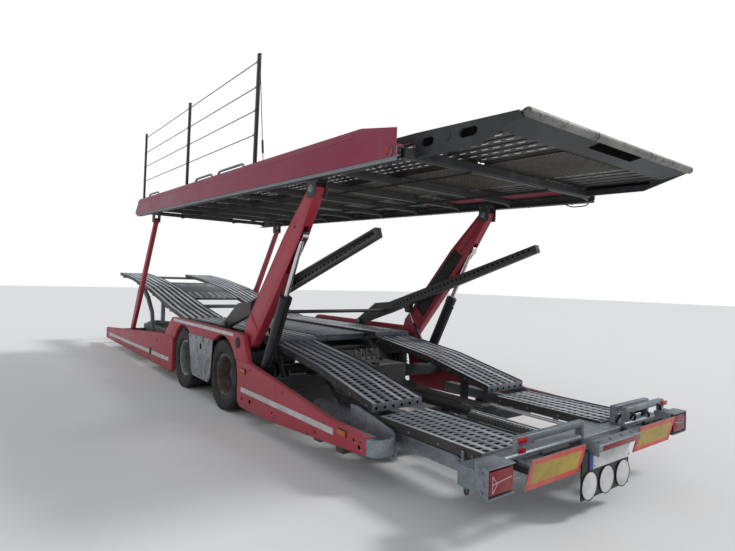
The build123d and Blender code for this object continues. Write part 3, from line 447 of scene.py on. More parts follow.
def rod(mesh, start, end, radius, corners=12, tip=None):
    """A round bar between two places, or a cone if its tip has another radius."""
    start, end = Vector(start), Vector(end)
    run = end - start
    turn = run.to_track_quat("Z", "Y").to_matrix().to_4x4()
    bmesh.ops.create_cone(
        mesh,
        cap_ends=True,
        segments=corners,
        radius1=radius,
        radius2=radius if tip is None else tip,
        depth=run.length,
        matrix=Matrix.Translation(start + run / 2) @ turn,
    )


def pins(mesh, spots, y, radius, corners=12, place=at):
    """Round bars across the trailer at (x, z) spots, on both sides."""
    for side in sides:
        for x, z in spots:
            rod(mesh, place(x, side * y[0], z), place(x, side * y[1], z), radius, corners)


def turned(mesh, profile, centre, way=1, corners=48, closed=True, axis="Y"):
    """A ring turned about an axis: (distance along it, radius) points."""
    rings = []
    for step in range(corners):
        a, b = cos(2 * pi * step / corners), sin(2 * pi * step / corners)
        ring = []
        for along, r in profile:
            offset = (r * a, way * along, r * b)
            if axis == "Z":
                offset = (r * a, r * b, along)
            elif axis == "X":
                offset = (-along, r * a, r * b)
            ring.append(mesh.verts.new(Vector(centre) + Vector(offset)))
        rings.append(ring)
    for step in range(corners):
        walls(mesh, rings[step], rings[(step + 1) % corners], closed)


def to_object(name, mesh):
    bmesh.ops.recalc_face_normals(mesh, faces=mesh.faces)
    data = bpy.data.meshes.new(name)
    mesh.to_mesh(data)
    mesh.free()
    thing = bpy.data.objects.new(name, data)
    bpy.context.scene.collection.objects.link(thing)
    return thing


def plain_mesh(thing):
    """The object's mesh with its modifiers worked in and taken off."""
    evaluated = thing.evaluated_get(bpy.context.evaluated_depsgraph_get())
    made = bpy.data.meshes.new_from_object(evaluated)
    if thing.type != "MESH":
        swapped = bpy.data.objects.new(thing.name + "_mesh", made)
        bpy.context.scene.collection.objects.link(swapped)
        bpy.data.objects.remove(thing)
        return swapped
    thing.modifiers.clear()
    thing.data = made
    return thing


def dress(thing, body, finish, slot, soften=0.0, smooth=38):
    """Softens a piece's edges, gives it a finish and lets it ride on a body."""
    if soften:
        edge = thing.modifiers.new("soft edges", "BEVEL")
        edge.width = soften
        edge.segments = 2
        edge.limit_method = "ANGLE"
        edge.angle_limit = radians(40)
        thing = plain_mesh(thing)
    if finish is not None:
        thing.data.materials.clear()
        thing.data.materials.append(finish)
    thing.data.polygons.foreach_set("use_smooth", [True] * len(thing.data.polygons))
    thing.data.set_sharp_from_angle(angle=radians(smooth))
    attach(thing, body)
    return thing


def piece(name, mesh, body, finish, slot, soften=0.0, smooth=38):
    return dress(to_object(name, mesh), body, finish, slot, soften, smooth)


def finish_node(name, finish):
    """Gives a CAD node its material and leaves the rest of it alone."""
    nodes[name].data.materials.clear()
    nodes[name].data.materials.append(finish)


# %% [markdown]
# ## Softened plates
# A CAD edge is perfectly sharp, which no welded or folded steel is: real edges are a few
# millimetres round and catch a thin line of light. A copy of each painted CAD mesh has its triangles
# merged back into flat faces, and then a bevel rounds the edges. The copy stands for its node.


# %% Rounded copies of painted nodes
def softened(node, finish, width, body, slot):
    mesh = bmesh.new()
    mesh.from_mesh(nodes[node].data)
    bmesh.ops.remove_doubles(mesh, verts=mesh.verts, dist=0.00002)
    bmesh.ops.dissolve_limit(
        mesh, angle_limit=radians(1.0), verts=mesh.verts, edges=mesh.edges, delimit={"NORMAL"}
    )
    made = piece(node + "_dressed", mesh, body, finish, slot, soften=width)
    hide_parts(node)
    return made


soften_table = [
    # node, finish, edge radius in metres, body, slot
    ("front_sills", red_paint, 0.006, "frame", "red_paint"),
    ("rear_sills", red_paint, 0.006, "frame", "red_paint"),
    ("arch_panels", red_paint, 0.006, "frame", "red_paint"),
    ("rear_arms", red_paint, 0.005, "rear_arms", "red_paint"),
    ("front_arms", red_paint, 0.005, "front_arms", "red_paint"),
    ("deck_panels", deck_red_paint, 0.002, "upper_deck", "deck_red_paint"),
    ("upper_deck_frame", under_paint, 0.002, "upper_deck", "grey_paint"),
    ("main_rails", dark_paint, 0.006, "frame", "dark_paint"),
    ("cross_members", dark_paint, 0.004, "frame", "dark_paint"),
    ("drawbar", dark_paint, 0.004, "frame", "dark_paint"),
    ("platform_frame", grey_paint, 0.003, "front_platform", "track_steel"),
    ("swing_frame", swing_paint, 0.002, "swing_frame", "grey_paint"),
    ("tail_beam", galvanised, 0.004, "rear_extension", "galvanised"),
    ("axle_deck_cover", track_steel, 0.002, "frame", "track_steel"),
    ("light_bar", galvanised, 0.004, "rear_extension", "galvanised"),
    ("sill_brackets", galvanised, 0.003, "frame", "galvanised"),
    ("guard_posts", black_paint, 0.006, "upper_deck", "black_paint"),
    ("suspension", dark_paint, 0.003, "frame", "dark_paint"),
]
for node, finish, width, body, slot in soften_table:
    softened(node, finish, width, body, slot)
plain_table = {
    "axles": dark_paint,
    "pivot_brackets": dark_paint,
    "jack_leg": galvanised,
    "guard_plates": guard_zinc,
    "hydraulic_unit": under_paint,
    "strut_barrels": black_paint,
    "strut_rods": rod_chrome,
    "ram_barrel": black_paint,
    "ram_rod": rod_chrome,
    "lift_barrels": black_paint,
    "lift_rods": rod_chrome,
    "tail_brackets": plate_black,
    "guard_ropes": wire_rope,
}
for node, finish in plain_table.items():
    finish_node(node, finish)

# %% [markdown]
# ## Repeats by Geometry Nodes
# Bolts, punched ovals, bridges and tread blocks repeat hundreds of times, each in a row that follows
# an edge or a circle. Placing them by hand would be slow to change. One tree walks along lines at an
# even pitch and puts a stamp at each step, and a second sets stamps round a circle. Both end in
# Realize Instances and Set Material, so that the rows become plain meshes.


# %% A tree that sets stamps on points
def stamp_tree(name, inputs, find_points):
    """Stamps on the points that a function finds, turned as it says, in one mesh."""
    tree = bpy.data.node_groups.new(name, "GeometryNodeTree")
    sockets = [("Geometry", "Geometry"), *inputs, ("Stamp", "Object"), ("Finish", "Material")]
    for label, kind in sockets:
        tree.interface.new_socket(label, in_out="INPUT", socket_type="NodeSocket" + kind)
    tree.interface.new_socket("Geometry", in_out="OUTPUT", socket_type="NodeSocketGeometry")
    source = tree.nodes.new("NodeGroupInput").outputs
    result = tree.nodes.new("NodeGroupOutput")

    def add(kind, settings=None, *values, **named):
        made = tree.nodes.new(kind)
        for key, value in (settings or {}).items():
            setattr(made, key, value)
        for socket_name, value in [*enumerate(values), *named.items()]:
            socket = made.inputs[socket_name]
            if isinstance(value, bpy.types.NodeSocket):
                tree.links.new(value, socket)
            else:
                socket.default_value = value
        return made.outputs

    points, turn = find_points(source, add)
    stamp = add("GeometryNodeObjectInfo", {"transform_space": "ORIGINAL"}, Object=source["Stamp"])
    copy = {"Points": points, "Instance": stamp["Geometry"], "Rotation": turn}
    copies = add("GeometryNodeInstanceOnPoints", **copy)[0]
    solid = add("GeometryNodeRealizeInstances", Geometry=copies)[0]
    finished = add("GeometryNodeSetMaterial", Geometry=solid, Material=source["Finish"])[0]
    tree.links.new(finished, result.inputs[0])
    return tree


def along_lines(source, add):
    path = add("GeometryNodeMeshToCurve", Mesh=source["Geometry"])[0]
    by_length = {"mode": "LENGTH"}
    steps = add("GeometryNodeResampleCurve", by_length, Curve=path, Length=source["Pitch"])[0]
    tangent = add("GeometryNodeInputTangent")[0]
    return steps, add("FunctionNodeAlignRotationToVector", {"axis": "X"}, Vector=tangent)[0]


def round_circle(source, add):
    circle = add("GeometryNodeMeshCircle", Vertices=source["Count"], Radius=source["Radius"])[0]
    number = add("GeometryNodeInputIndex")[0]
    share = add("ShaderNodeMath", {"operation": "DIVIDE"}, number, source["Count"])[0]
    whole = add("ShaderNodeMath", {"operation": "MULTIPLY"}, share, 2 * pi)[0]
    return circle, add("ShaderNodeCombineXYZ", Z=whole)[0]


row_tree = stamp_tree("stamps along lines", [("Pitch", "Float")], along_lines)
ring_inputs = [("Radius", "Float"), ("Count", "Int")]
ring_tree = stamp_tree("stamps round a circle", ring_inputs, round_circle)


# %% Run a tree and keep its mesh
def grown(name, source_mesh, tree, settings):
    base = to_object(name, source_mesh)
    maker = base.modifiers.new("rows", "NODES")
    maker.node_group = tree
    for item in tree.interface.items_tree:
        if item.in_out == "INPUT" and item.name in settings:
            maker[item.identifier] = settings[item.name]
    return plain_mesh(base)


def stamp_object(name, mesh):
    """A small shape that the trees copy. It is taken off the scene once the rows are made."""
    made = to_object(name, mesh)
    made.hide_render = True
    stamps.append(made)
    return made


stamps = []


def mirrored(*lines, place=at):
    """Lines of (x, y, z) places, on both sides."""
    return [[place(x, side * y, z) for x, y, z in line] for side in sides for line in lines]


def rows(name, lines, shape, pitch, body, finish, slot, smooth=38):
    """Stamps along lines, each a list of places."""
    mesh = bmesh.new()
    for line in lines:
        corners = [mesh.verts.new(place) for place in line]
        for first, second in zip(corners, corners[1:]):
            mesh.edges.new((first, second))
    settings = {"Pitch": pitch, "Stamp": shape, "Finish": finish}
    return dress(grown(name, mesh, row_tree, settings), body, None, slot, smooth=smooth)


def ring_of(name, shape, radius, count, centre, side, body, finish, slot):
    """Stamps round a circle that faces outwards on one side: X radial, Z outwards."""
    mesh = bmesh.new()
    mesh.verts.new((0, 0, 0))
    settings = {"Radius": radius, "Count": count, "Stamp": shape, "Finish": finish}
    made = grown(name, mesh, ring_tree, settings)
    face = Matrix(((1, 0, 0), (0, 0, side), (0, -side, 0))).to_4x4()
    made.data.transform(Matrix.Translation(centre) @ face)
    return dress(made, body, None, slot)


# %% Stamps: blocks and hex heads
stud_reach, stud_share = 1.35, 0.5


def stamp_box(name, x, y, z):
    """A small block by its full length, width and height, centred."""
    mesh = bmesh.new()
    bmesh.ops.create_cube(mesh, size=1.0, matrix=Matrix.Diagonal((x, y, z, 1.0)))
    return stamp_object(name, mesh)


def stamp_hex(name, radius, height, axis):
    """A six-sided head with the end of its bolt standing out of it."""
    mesh = bmesh.new()
    ends = {"Y": ((0, -height / 2, 0), (0, height / 2, 0)), "Z": ((0, 0, 0), (0, 0, height))}
    foot, top = ends[axis]
    rod(mesh, foot, top, radius, corners=6)
    rod(mesh, foot, Vector(top) * stud_reach, radius * stud_share, corners=8)
    return stamp_object(name, mesh)


small_bolt = stamp_hex("small_bolt", 0.009, 0.012, "Y")
wheel_nut = stamp_hex("wheel_nut", 0.017, 0.024, "Z")
cap_bolt = stamp_hex("cap_bolt", 0.008, 0.007, "Z")
tread_block = stamp_box("tread_block", 0.012, 0.017, 0.034)

# %% [markdown]
# ## Twin wheels
# Each side of an axle carries two tyres on deep dished rims, bolted back to back. A tyre is a shape
# turned about the axle: a bulging sidewall with raised bands, a square shoulder and three grooves
# round the tread. The blocks at the shoulder and the ring of nuts are stamps round a circle. The
# near front rim still shows silver paint, while the rear one has rusted, as in the photograph.

# %% Tyre section
def both_halves(half):
    """A section from its outer half, mirrored for the inner one."""
    return half + [(-across, r) for across, r in reversed(half)]


tyre_half = 0.1175
tyre_section = [
    # outwards from the tyre's middle, radius
    (0.083, 0.2233),
    (0.083, 0.2423),
    (0.098, 0.252),
    (0.108, 0.272),
    (0.1125, 0.276),
    (0.1165, 0.302),
    (0.1150, 0.306),
    (0.1175, 0.318),
    (0.1160, 0.338),
    (0.1130, 0.346),
    (0.1125, 0.362),
    (0.1060, 0.384),
    (0.0960, 0.395),
    (0.0640, 0.3985),
    (0.0625, 0.388),
    (0.0555, 0.388),
    (0.0540, 0.3990),
    (0.0055, 0.4000),
    (0.0040, 0.389),
]
wheel_radius = 0.4
outer_tyre_y = 1.235 - tyre_half
twin_spacing = 0.265
join_y = outer_tyre_y - twin_spacing / 2
twin_y = (outer_tyre_y, outer_tyre_y - twin_spacing)
shoulder_y = 0.0985
# radius of each ring of stamps and how many stand on it
tread_ring = (0.3885, 64)
nut_ring = (0.125, 10)
cap_ring = (0.058, 8)
hand_hole_ring = (0.180, 10)
wheel_table = [
    # name, axle x, side, rim finish
    ("front_left", 1.42, 1, front_rim_steel),
    ("front_right", 1.42, -1, front_rim_steel),
    ("rear_left", 0.0, 1, rear_rim_steel),
    ("rear_right", 0.0, -1, rear_rim_steel),
]

# %% Rim section: well, discs and hub
rim_section = [
    # outwards from the rim's middle, radius: from the well over the flange and back below
    (0.046, 0.214),
    (0.058, 0.221),
    (0.084, 0.222),
    (0.090, 0.236),
    (0.086, 0.242),
    (0.078, 0.236),
    (0.074, 0.214),
    (0.050, 0.208),
]
disc_section = [
    # outwards from the joint of the two rims, radius
    (0.0, 0.0455),
    (0.014, 0.0455),
    (0.014, 0.150),
    (0.020, 0.163),
    (0.060, 0.197),
    (0.064, 0.2095),
    (0.052, 0.2095),
    (0.048, 0.200),
    (0.008, 0.168),
    (0.0, 0.156),
]
hub_section = [
    # outwards from the joint, radius
    (0.010, 0.0455),
    (0.010, 0.098),
    (0.030, 0.098),
    (0.036, 0.088),
    (0.110, 0.082),
    (0.118, 0.074),
    (0.131, 0.070),
    (0.132, 0.0),
]
drum_section = [(-0.015, 0.190), (-0.205, 0.190), (-0.205, 0.174), (-0.03, 0.174), (-0.03, 0.12)]
drum_section.append((-0.015, 0.12))
for name, axle_x, side, rim_finish in wheel_table:
    body = "wheels_" + name
    centre = at(axle_x, 0, wheel_radius)
    mesh = bmesh.new()
    for middle in twin_y:
        section = [(middle + y, r) for y, r in both_halves(tyre_section)]
        turned(mesh, section, centre, side, corners=84)
    tyres = piece("tyres_" + name + "_dressed", mesh, body, tyre_rubber, "tyre", smooth=30)
    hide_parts("tyres_" + name)
    for twin, middle in enumerate(twin_y):
        for edge in (-1, 1):
            place = centre + Vector((0, side * (middle + edge * shoulder_y), 0))
            label = f"tread_{name}_{twin}_{'out' if edge > 0 else 'in'}"
            ring_of(label, tread_block, *tread_ring, place, side, body, tyre_rubber, "tyre")

    joint = at(axle_x, side * join_y, wheel_radius)
    mesh = bmesh.new()
    for middle in twin_y:
        section = [(middle + y, r) for y, r in both_halves(rim_section)]
        turned(mesh, section, centre, side, corners=64)
    for way in sides:
        turned(mesh, disc_section, joint, side * way, corners=64)
    turned(mesh, hub_section, joint, side, corners=40, closed=False)
    turned(mesh, drum_section, joint, side, corners=48)
    rims = piece("rims_" + name + "_dressed", mesh, body, rim_finish, "rim", smooth=32)
    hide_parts("rims_" + name)
    nuts = joint + Vector((0, side * 0.013, 0))
    ring_of("wheel_nuts_" + name, wheel_nut, *nut_ring, nuts, side, body, rim_finish, "rim")
    cap = joint + Vector((0, side * 0.129, 0))
    ring_of("hub_bolts_" + name, cap_bolt, *cap_ring, cap, side, body, dark_paint, "rim")
print("wheels dressed:", len(wheel_table))

# %% [markdown]
# ## Hand holes
# A disc has ten round hand holes between its nuts and its rim, which let air reach the brakes.
# Cutting them would need a boolean on a turned ring. Since only darkness shows behind them, each is
# a short black cup with a rolled lip, set into the cone of the disc.

# %% Hand holes as lipped cups
hole_cup = bmesh.new()
cup_profile = [(0.0, 0.0), (0.0, 0.017), (0.0035, 0.019), (0.0045, 0.022), (0.0, 0.025)]
turned(hole_cup, cup_profile, (0, 0, 0), corners=12, closed=False, axis="Z")
bmesh.ops.remove_doubles(hole_cup, verts=hole_cup.verts, dist=0.0002)
tilt = Matrix.Rotation(radians(-38), 4, "Y")
bmesh.ops.transform(hole_cup, matrix=tilt, verts=hole_cup.verts)
hand_hole = stamp_object("hand_hole", hole_cup)
for name, axle_x, side, rim_finish in wheel_table:
    place = at(axle_x, side * (join_y + 0.041), wheel_radius)
    label = "hand_holes_" + name
    ring_of(label, hand_hole, *hand_hole_ring, place, side, "wheels_" + name, hole_shade, "rim")
print("hand holes on", len(wheel_table), "wheels")

# %% [markdown]
# ## Ribbed wheel tracks
# A car's wheels run on six folded ribs per side. Tyres have worn the tops of the ribs bright, and
# the edges of each rib are punched into scallops, so from above a track is a bundle of light lines
# with toothed dark rows between. The CAD track already has the ribs. Rows of dark ovals with a low
# raised lip follow its gaps and bite a little into both ribs, a flange closes each side, and a low
# flat ridge along every rib, swept along the bends of the track, carries the shine. The dark ovals
# are painted shade in the punched holes. The ridges' brightest streaks are painted highlight on top
# of the real polish, and on the axle deck and the platform the ridges are lighter still, as painted
# sun glare.

# %% Lines of the tracks
track_inner_y = 0.43
track_outer_y = 0.96
rib_count = 6
rib_width = 0.066
platform_line = [(2.12, 0.88), (2.90, 1.00), (4.40, 1.29), (5.60, 1.45), (6.80, 1.55)]
track_table = [
    # name, body, the line along the top from the rear, outer y
    ("tail_tracks", "rear_extension", [(-3.56, 0.46), (-2.54, 0.46)], track_outer_y),
    ("mid_tracks", "frame", [(-2.45, 0.535), (-1.60, 0.715), (-0.71, 0.83)], track_outer_y),
    ("axle_deck_tracks", "frame", [(-0.69, 0.88), (2.08, 0.88)], track_outer_y),
    ("platform_tracks", "front_platform", platform_line, 1.0),
]


def lifted(line, y, lift, start=0.03):
    """A track's line at one y, raised by a lift, and a little shorter at its ends."""
    places = [Vector((x, y, z)) for x, z in line]
    places[0] += (places[1] - places[0]).normalized() * start
    places[-1] -= (places[-1] - places[-2]).normalized() * start
    return [at(place.x, place.y, place.z + lift) for place in places]


def rib_lines(outer, between=0.0):
    """The middles of the ribs from the inner one outwards, or of the gaps if between is a half."""
    pitch = (outer - track_inner_y - rib_width) / (rib_count - 1)
    count = rib_count - 1 if between else rib_count
    return [track_inner_y + rib_width / 2 + (number + between) * pitch for number in range(count)]


# %% Stamps of the punched ribs
oval_corners = 8


def oval(mesh, length, width, level):
    """A flat loop of corners that a punched hole is made of."""
    loop = []
    for step in range(oval_corners):
        angle = 2 * pi * step / oval_corners
        loop.append(mesh.verts.new((length / 2 * cos(angle), width / 2 * sin(angle), level)))
    return loop


lip_length, lip_width, lip_height = 0.050, 0.068, 0.003
lip_mesh = bmesh.new()
lip_levels = [(1.0, 0.0), (0.90, lip_height), (0.84, lip_height), (0.78, 0.0)]
lip_loops = [oval(lip_mesh, lip_length * share, lip_width * share, level) for share, level in lip_levels]
for low, high in zip(lip_loops, lip_loops[1:]):
    walls(lip_mesh, low, high)
punched_lip = stamp_object("punched_lip", lip_mesh)
# A flat black oval stands for each punched hole: painted shade.
dark_mesh = bmesh.new()
dark_mesh.faces.new(oval(dark_mesh, 0.038, 0.052, 0.0006))
punched_dark = stamp_object("punched_dark", dark_mesh)

# %% Punched rows, flanges and folded ends
flange_wall = 0.004
flange_rise, flange_drop = 0.012, 0.052
punch_pitch = 0.056
bolt_pitch = 0.23
for name, body, line, outer in track_table:
    gaps = [lifted(line, side * y, 0.0) for side in sides for y in rib_lines(outer, 0.5)]
    rows("lips_" + name, gaps, punched_lip, punch_pitch, body, track_steel, "track_steel")
    # The rows of black ovals are painted shade in the punched holes.
    rows("dark_" + name, gaps, punched_dark, punch_pitch, body, hole_shade, "track_steel")
    finish_node(name, track_steel)
    section = [(x, z + flange_rise) for x, z in line]
    section += [(x, z - flange_drop) for x, z in reversed(line)]
    mesh = bmesh.new()
    for edge in (track_inner_y - flange_wall - 0.001, outer + 0.001):
        pair(mesh, section, (edge, edge + flange_wall))
    piece("flanges_" + name, mesh, body, grimy_shaded_steel, "track_steel", smooth=20)
    edges = (track_inner_y - flange_wall - 0.0014, outer + flange_wall + 0.0014)
    lines = [lifted(line, side * edge, -0.028, start=0.06) for side in sides for edge in edges]
    rows("flange_bolts_" + name, lines, small_bolt, bolt_pitch, body, galvanised, "track_steel")
    mesh = bmesh.new()
    for x, z, way in ((*line[0], 1), (*line[-1], -1)):
        lip_x = sorted((x - way * 0.006, x + way * 0.012))
        pair(mesh, rectangle(lip_x, (z - 0.062, z + 0.004)), (track_inner_y, outer))
    piece("ends_" + name, mesh, body, track_steel, "track_steel", soften=0.002)


# %% Polished ridges along the ribs, with painted highlight
def polish(name, dull, bright):
    ridge = Finish(name)
    # The wear streaks are partly real polish from tyres and partly painted highlight: their bright end
    # stands for glints of light along the ribs.
    wear = ridge.noise(3.0, detail=5, vector=ridge.stretched(0.25, 3.0, 1.0)).ramp(0.36, 0.66)
    smut = ridge.noise(26.0, detail=4).ramp(0.5, 0.75)
    return ridge.set(
        Base_Color=ridge.mix(smut * 0.5, ridge.mix(wear, dull, bright), (0.10, 0.10, 0.10)),
        Metallic=0.30,
        Roughness=smut * 0.2 + 0.5 - wear * 0.15,
    )


polish_and_glint = polish("polished ridges", (0.21, 0.235, 0.27), (0.66, 0.68, 0.70))
# A lighter copy of the polished ridges: painted highlight where sun glare lies on the tracks.
glare_polished = polish("bright ridges", (0.40, 0.42, 0.44), (0.86, 0.87, 0.88))
ridge_half, ridge_height = 0.023, 0.005
ridge_section = [(-ridge_half, 0.0), (-ridge_half * 0.6, ridge_height)]
ridge_section += [(ridge_half * 0.6, ridge_height), (ridge_half, 0.0)]
for name, body, line, outer in track_table:
    mesh = bmesh.new()
    for side in sides:
        for middle in rib_lines(outer):
            loops = []
            for x, z in line:
                corners = [at(x, side * middle + across, z + lift) for across, lift in ridge_section]
                loops.append([mesh.verts.new(corner) for corner in corners])
            for before, after in zip(loops, loops[1:]):
                walls(mesh, before, after, closed=False)
    # The axle-deck and platform tracks get the lighter ridges as painted sun glare.
    shine = glare_polished if name in ("axle_deck_tracks", "platform_tracks") else polish_and_glint
    piece("ridges_" + name, mesh, body, shine, "track_steel", smooth=20)

# %% Holes along the folded rear ends
end_hole_count = 6
end_hole_radius = 0.013
for name, body, line, outer in track_table[:2]:
    x, z = line[0]
    mesh = bmesh.new()
    for side in sides:
        low, high = span(side, track_inner_y + 0.05, outer - 0.04)
        for number in range(end_hole_count):
            y = low + (high - low) * number / (end_hole_count - 1)
            start, end = at(x - 0.0076, y, z - 0.032), at(x - 0.0064, y, z - 0.032)
            rod(mesh, start, end, end_hole_radius, corners=12)
    # Each hole is a black disc: painted shade in place of the opening.
    piece("end_holes_" + name, mesh, body, hole_shade, "track_steel")
print("tracks dressed:", len(track_table))

# %% [markdown]
# ## Plates with holes
# Slots and round holes through a plate need no boolean. A flat curve may have several closed loops,
# and Blender fills between them, so the holes are simply more loops. Extruding the curve gives the
# plate its thickness. It lies in its own plane at first, and a matrix stands it up where it belongs.


# %% A plate filled between loops
def ring_points(x, z, r, count=20):
    """A round loop of (x, z) points."""
    turns = [2 * pi * step / count for step in range(count)]
    return [(x + r * cos(angle), z + r * sin(angle)) for angle in turns]


def slot_points(x, z, length, height, count=8):
    """A loop with two straight sides and round ends."""
    half = (length - height) / 2
    loop = []
    for end, start in ((half, -pi / 2), (-half, pi / 2)):
        for step in range(count + 1):
            angle = start + pi * step / count
            loop.append((x + end + height / 2 * cos(angle), z + height / 2 * sin(angle)))
    return loop


def curve_object(name, dimensions, lines, closed):
    """A curve of straight pieces through each line's places."""
    drawing = bpy.data.curves.new(name, "CURVE")
    drawing.dimensions = dimensions
    for places in lines:
        line = drawing.splines.new("POLY")
        line.points.add(len(places) - 1)
        for point, place in zip(line.points, places):
            point.co = (*place, 1)
        line.use_cyclic_u = closed
    thing = bpy.data.objects.new(name, drawing)
    bpy.context.scene.collection.objects.link(thing)
    return thing


def plate(mesh, name, loops, wall, stand):
    """Adds a plate of one wall between loops, stood up by a matrix that takes its (u, v) plane."""
    thing = curve_object(name, "2D", [[(u, v, 0) for u, v in loop] for loop in loops], True)
    thing.data.fill_mode = "BOTH"
    thing.data.extrude = wall / 2
    thing = plain_mesh(thing)
    flat = bmesh.new()
    flat.from_mesh(thing.data)
    bmesh.ops.remove_doubles(flat, verts=flat.verts, dist=0.00001)
    bmesh.ops.transform(flat, matrix=stand, verts=flat.verts)
    bmesh.ops.recalc_face_normals(flat, faces=flat.faces)
    flat.to_mesh(thing.data)
    flat.free()
    mesh.from_mesh(thing.data)
    bpy.data.objects.remove(thing)


# %% [markdown]
# ## The upper deck seen from below
# The photograph looks up at the deck against the sky, and daylight comes through it: slits between
# its planks, bridged by short webs, and an open mesh along the middle. The CAD floor has only plain
# gaps and a coarse grid, so finer planks, webs and mesh are made here and stand for it. The deck
# slopes, so its pieces are drawn along it, with u forward of the rear arms' top pin and w above it.

# %% Places on the sloping deck
deck_origin = (-1.80, 2.30)
deck_slope = radians(2.0)
deck_u = (-1.21, 6.15)
deck_w = (0.197, 0.205)
tail_floor_u = (-1.90, -1.215)
tail_w = (0.182, 0.19)
# inner y, outer y and planks on each side
deck_floor = (0.45, 1.149, 7)
tail_floor = (0.36, 1.056, 6)
plank_gap = 0.012
plank_wall = 0.002


def on_deck(u, y, w):
    x = deck_origin[0] + u * cos(deck_slope) - w * sin(deck_slope)
    z = deck_origin[1] + u * sin(deck_slope) + w * cos(deck_slope)
    return at(x, y, z)


# %% Planks, bridging webs and guides
def plank_lines(u, floor, w, between, short):
    """Lines along the middles of the planks, or of the gaps between them, on both sides."""
    inner, outer, count = floor
    pitch = (outer - inner) / count
    places = range(1, count) if between else range(count)
    middles = [inner + (number + (0 if between else 0.5)) * pitch for number in places]
    return mirrored(*[[(u[0] + short, y, w), (u[1] - short, y, w)] for y in middles], place=on_deck)


def planks(mesh, u, floor, w):
    """Flat planks with a gap between them, each with one low rib under its middle."""
    inner, outer, count = floor
    pitch = (outer - inner) / count
    for side in sides:
        for number in range(count):
            low = inner + number * pitch + plank_gap / 2
            high = low + pitch - plank_gap
            box(mesh, u, span(side, low, high), (w[1] - plank_wall, w[1]), on_deck)
            rib = ((low + high) / 2 - plank_wall, (low + high) / 2 + plank_wall)
            box(mesh, u, span(side, *rib), (w[0], w[1] - plank_wall), on_deck)


bridge = stamp_box("bridge", 0.040, plank_gap + 0.004, 0.002)
floor_table = [("deck", deck_u, deck_floor, deck_w), ("tail", tail_floor_u, tail_floor, tail_w)]
for label, u, floor, w in floor_table:
    mesh = bmesh.new()
    planks(mesh, u, floor, w)
    floor_piece = piece(label + "_planks", mesh, "upper_deck", grimy_shaded_steel, "track_steel", smooth=20)
    if label == "deck":
        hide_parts("deck_floors")
    lines = plank_lines(u, floor, w[1] - 0.0015, True, 0.04)
    rows(label + "_bridges", lines, bridge, 0.090, "upper_deck", grimy_shaded_steel, "track_steel")
lip_lines = plank_lines(deck_u, deck_floor, deck_w[1], False, 0.06)
rows("deck_lips", lip_lines, punched_lip, 0.12, "upper_deck", track_steel, "track_steel")
mesh = bmesh.new()
guide = [(1.05, 0.17), (1.05, 0.395), (5.60, 0.395), (5.90, 0.205), (5.90, 0.17)]
pair(mesh, guide, (1.152, 1.16), on_deck)
piece("deck_guides", mesh, "upper_deck", galvanised, "galvanised", soften=0.002)

# %% Open mesh along the middle
mesh_pitch = 0.042
mesh_bar = 0.0045
mesh_half = 0.446
bar_layer = 0.002
shortest_share = 0.02
diagonal = 0.707
block_faces = ((0, 1, 2, 3), (7, 6, 5, 4), (0, 4, 5, 1), (1, 5, 6, 2), (2, 6, 7, 3), (3, 7, 4, 0))


def open_mesh(mesh, u, half, w):
    """Crossing diagonal bars between two places along the deck, cut off at the ends."""
    run = half * 2
    for way in (1, -1):
        low, high = (w[0], w[1]) if way > 0 else (w[0] + bar_layer, w[1] - bar_layer)
        for number in range(1, int((u[1] - u[0] + run) / mesh_pitch) + 1):
            start_u = u[0] - run + number * mesh_pitch
            first = max(0.0, (u[0] - start_u) / run)
            last = min(1.0, (u[1] - start_u) / run)
            if last - first < shortest_share:
                continue
            ends = [(start_u + run * share, way * (run * share - half)) for share in (first, last)]
            corners = []
            for level in (low, high):
                for (place_u, y), sign in zip(ends + ends[::-1], (1, 1, -1, -1)):
                    shift = sign * mesh_bar * diagonal
                    corners.append(mesh.verts.new(on_deck(place_u - way * shift, y + shift, level)))
            for face in block_faces:
                mesh.faces.new([corners[corner] for corner in face])


mesh = bmesh.new()
open_mesh(mesh, deck_u, mesh_half - 0.004, (0.170, 0.182))
pair(mesh, rectangle(deck_u, (0.168, 0.205)), (mesh_half - 0.012, mesh_half + 0.010), on_deck)
piece("deck_mesh", mesh, "upper_deck", mesh_steel, "track_steel", smooth=20)
mesh = bmesh.new()
open_mesh(mesh, tail_floor_u, 0.356, (0.175, 0.187))
pair(mesh, rectangle(tail_floor_u, (0.174, 0.19)), (0.350, 0.366), on_deck)
piece("tail_mesh", mesh, "upper_deck", mesh_steel, "track_steel", smooth=20)

# %% [markdown]
# ## The tail of the upper deck
# Behind the red panels the deck narrows between two black side rails with oval slots and ends in a
# rolled zinc lip, made in three lengths. The rails are filled plates with their slots as extra
# loops, a dark back and a thin rim round each slot. A sloping apron rises from the floor to the lip.

# %% Side rails and apron
tail_half = 1.08
tail_wall = 0.02
slot_w = 0.205
slot_height = 0.06
rail_slots = ((-1.33, 0.12), (-1.69, 0.15))
tail_rail = [(-1.21, 0.11), (-1.21, 0.208), (-1.00, 0.208), (-1.00, 0.285), (-1.21, 0.285)]
tail_rail += [(-2.06, 0.262), (-2.08, 0.225), (-1.75, 0.112)]
rail_loops = [tail_rail] + [slot_points(u, slot_w, length, slot_height) for u, length in rail_slots]
rail_loops.append(ring_points(-1.51, 0.21, 0.024))
rail_turn = Matrix.Rotation(-deck_slope, 4, "Y") @ Matrix(((1, 0, 0), (0, 0, -1), (0, 1, 0))).to_4x4()
mesh = bmesh.new()
for side in sides:
    origin = at(deck_origin[0], side * (tail_half - tail_wall / 2), deck_origin[1])
    plate(mesh, "rail_plate", rail_loops, tail_wall, Matrix.Translation(origin) @ rail_turn)
tail_rails = piece("tail_rails", mesh, "upper_deck", dark_paint, "dark_paint", soften=0.002)
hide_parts("deck_tail")
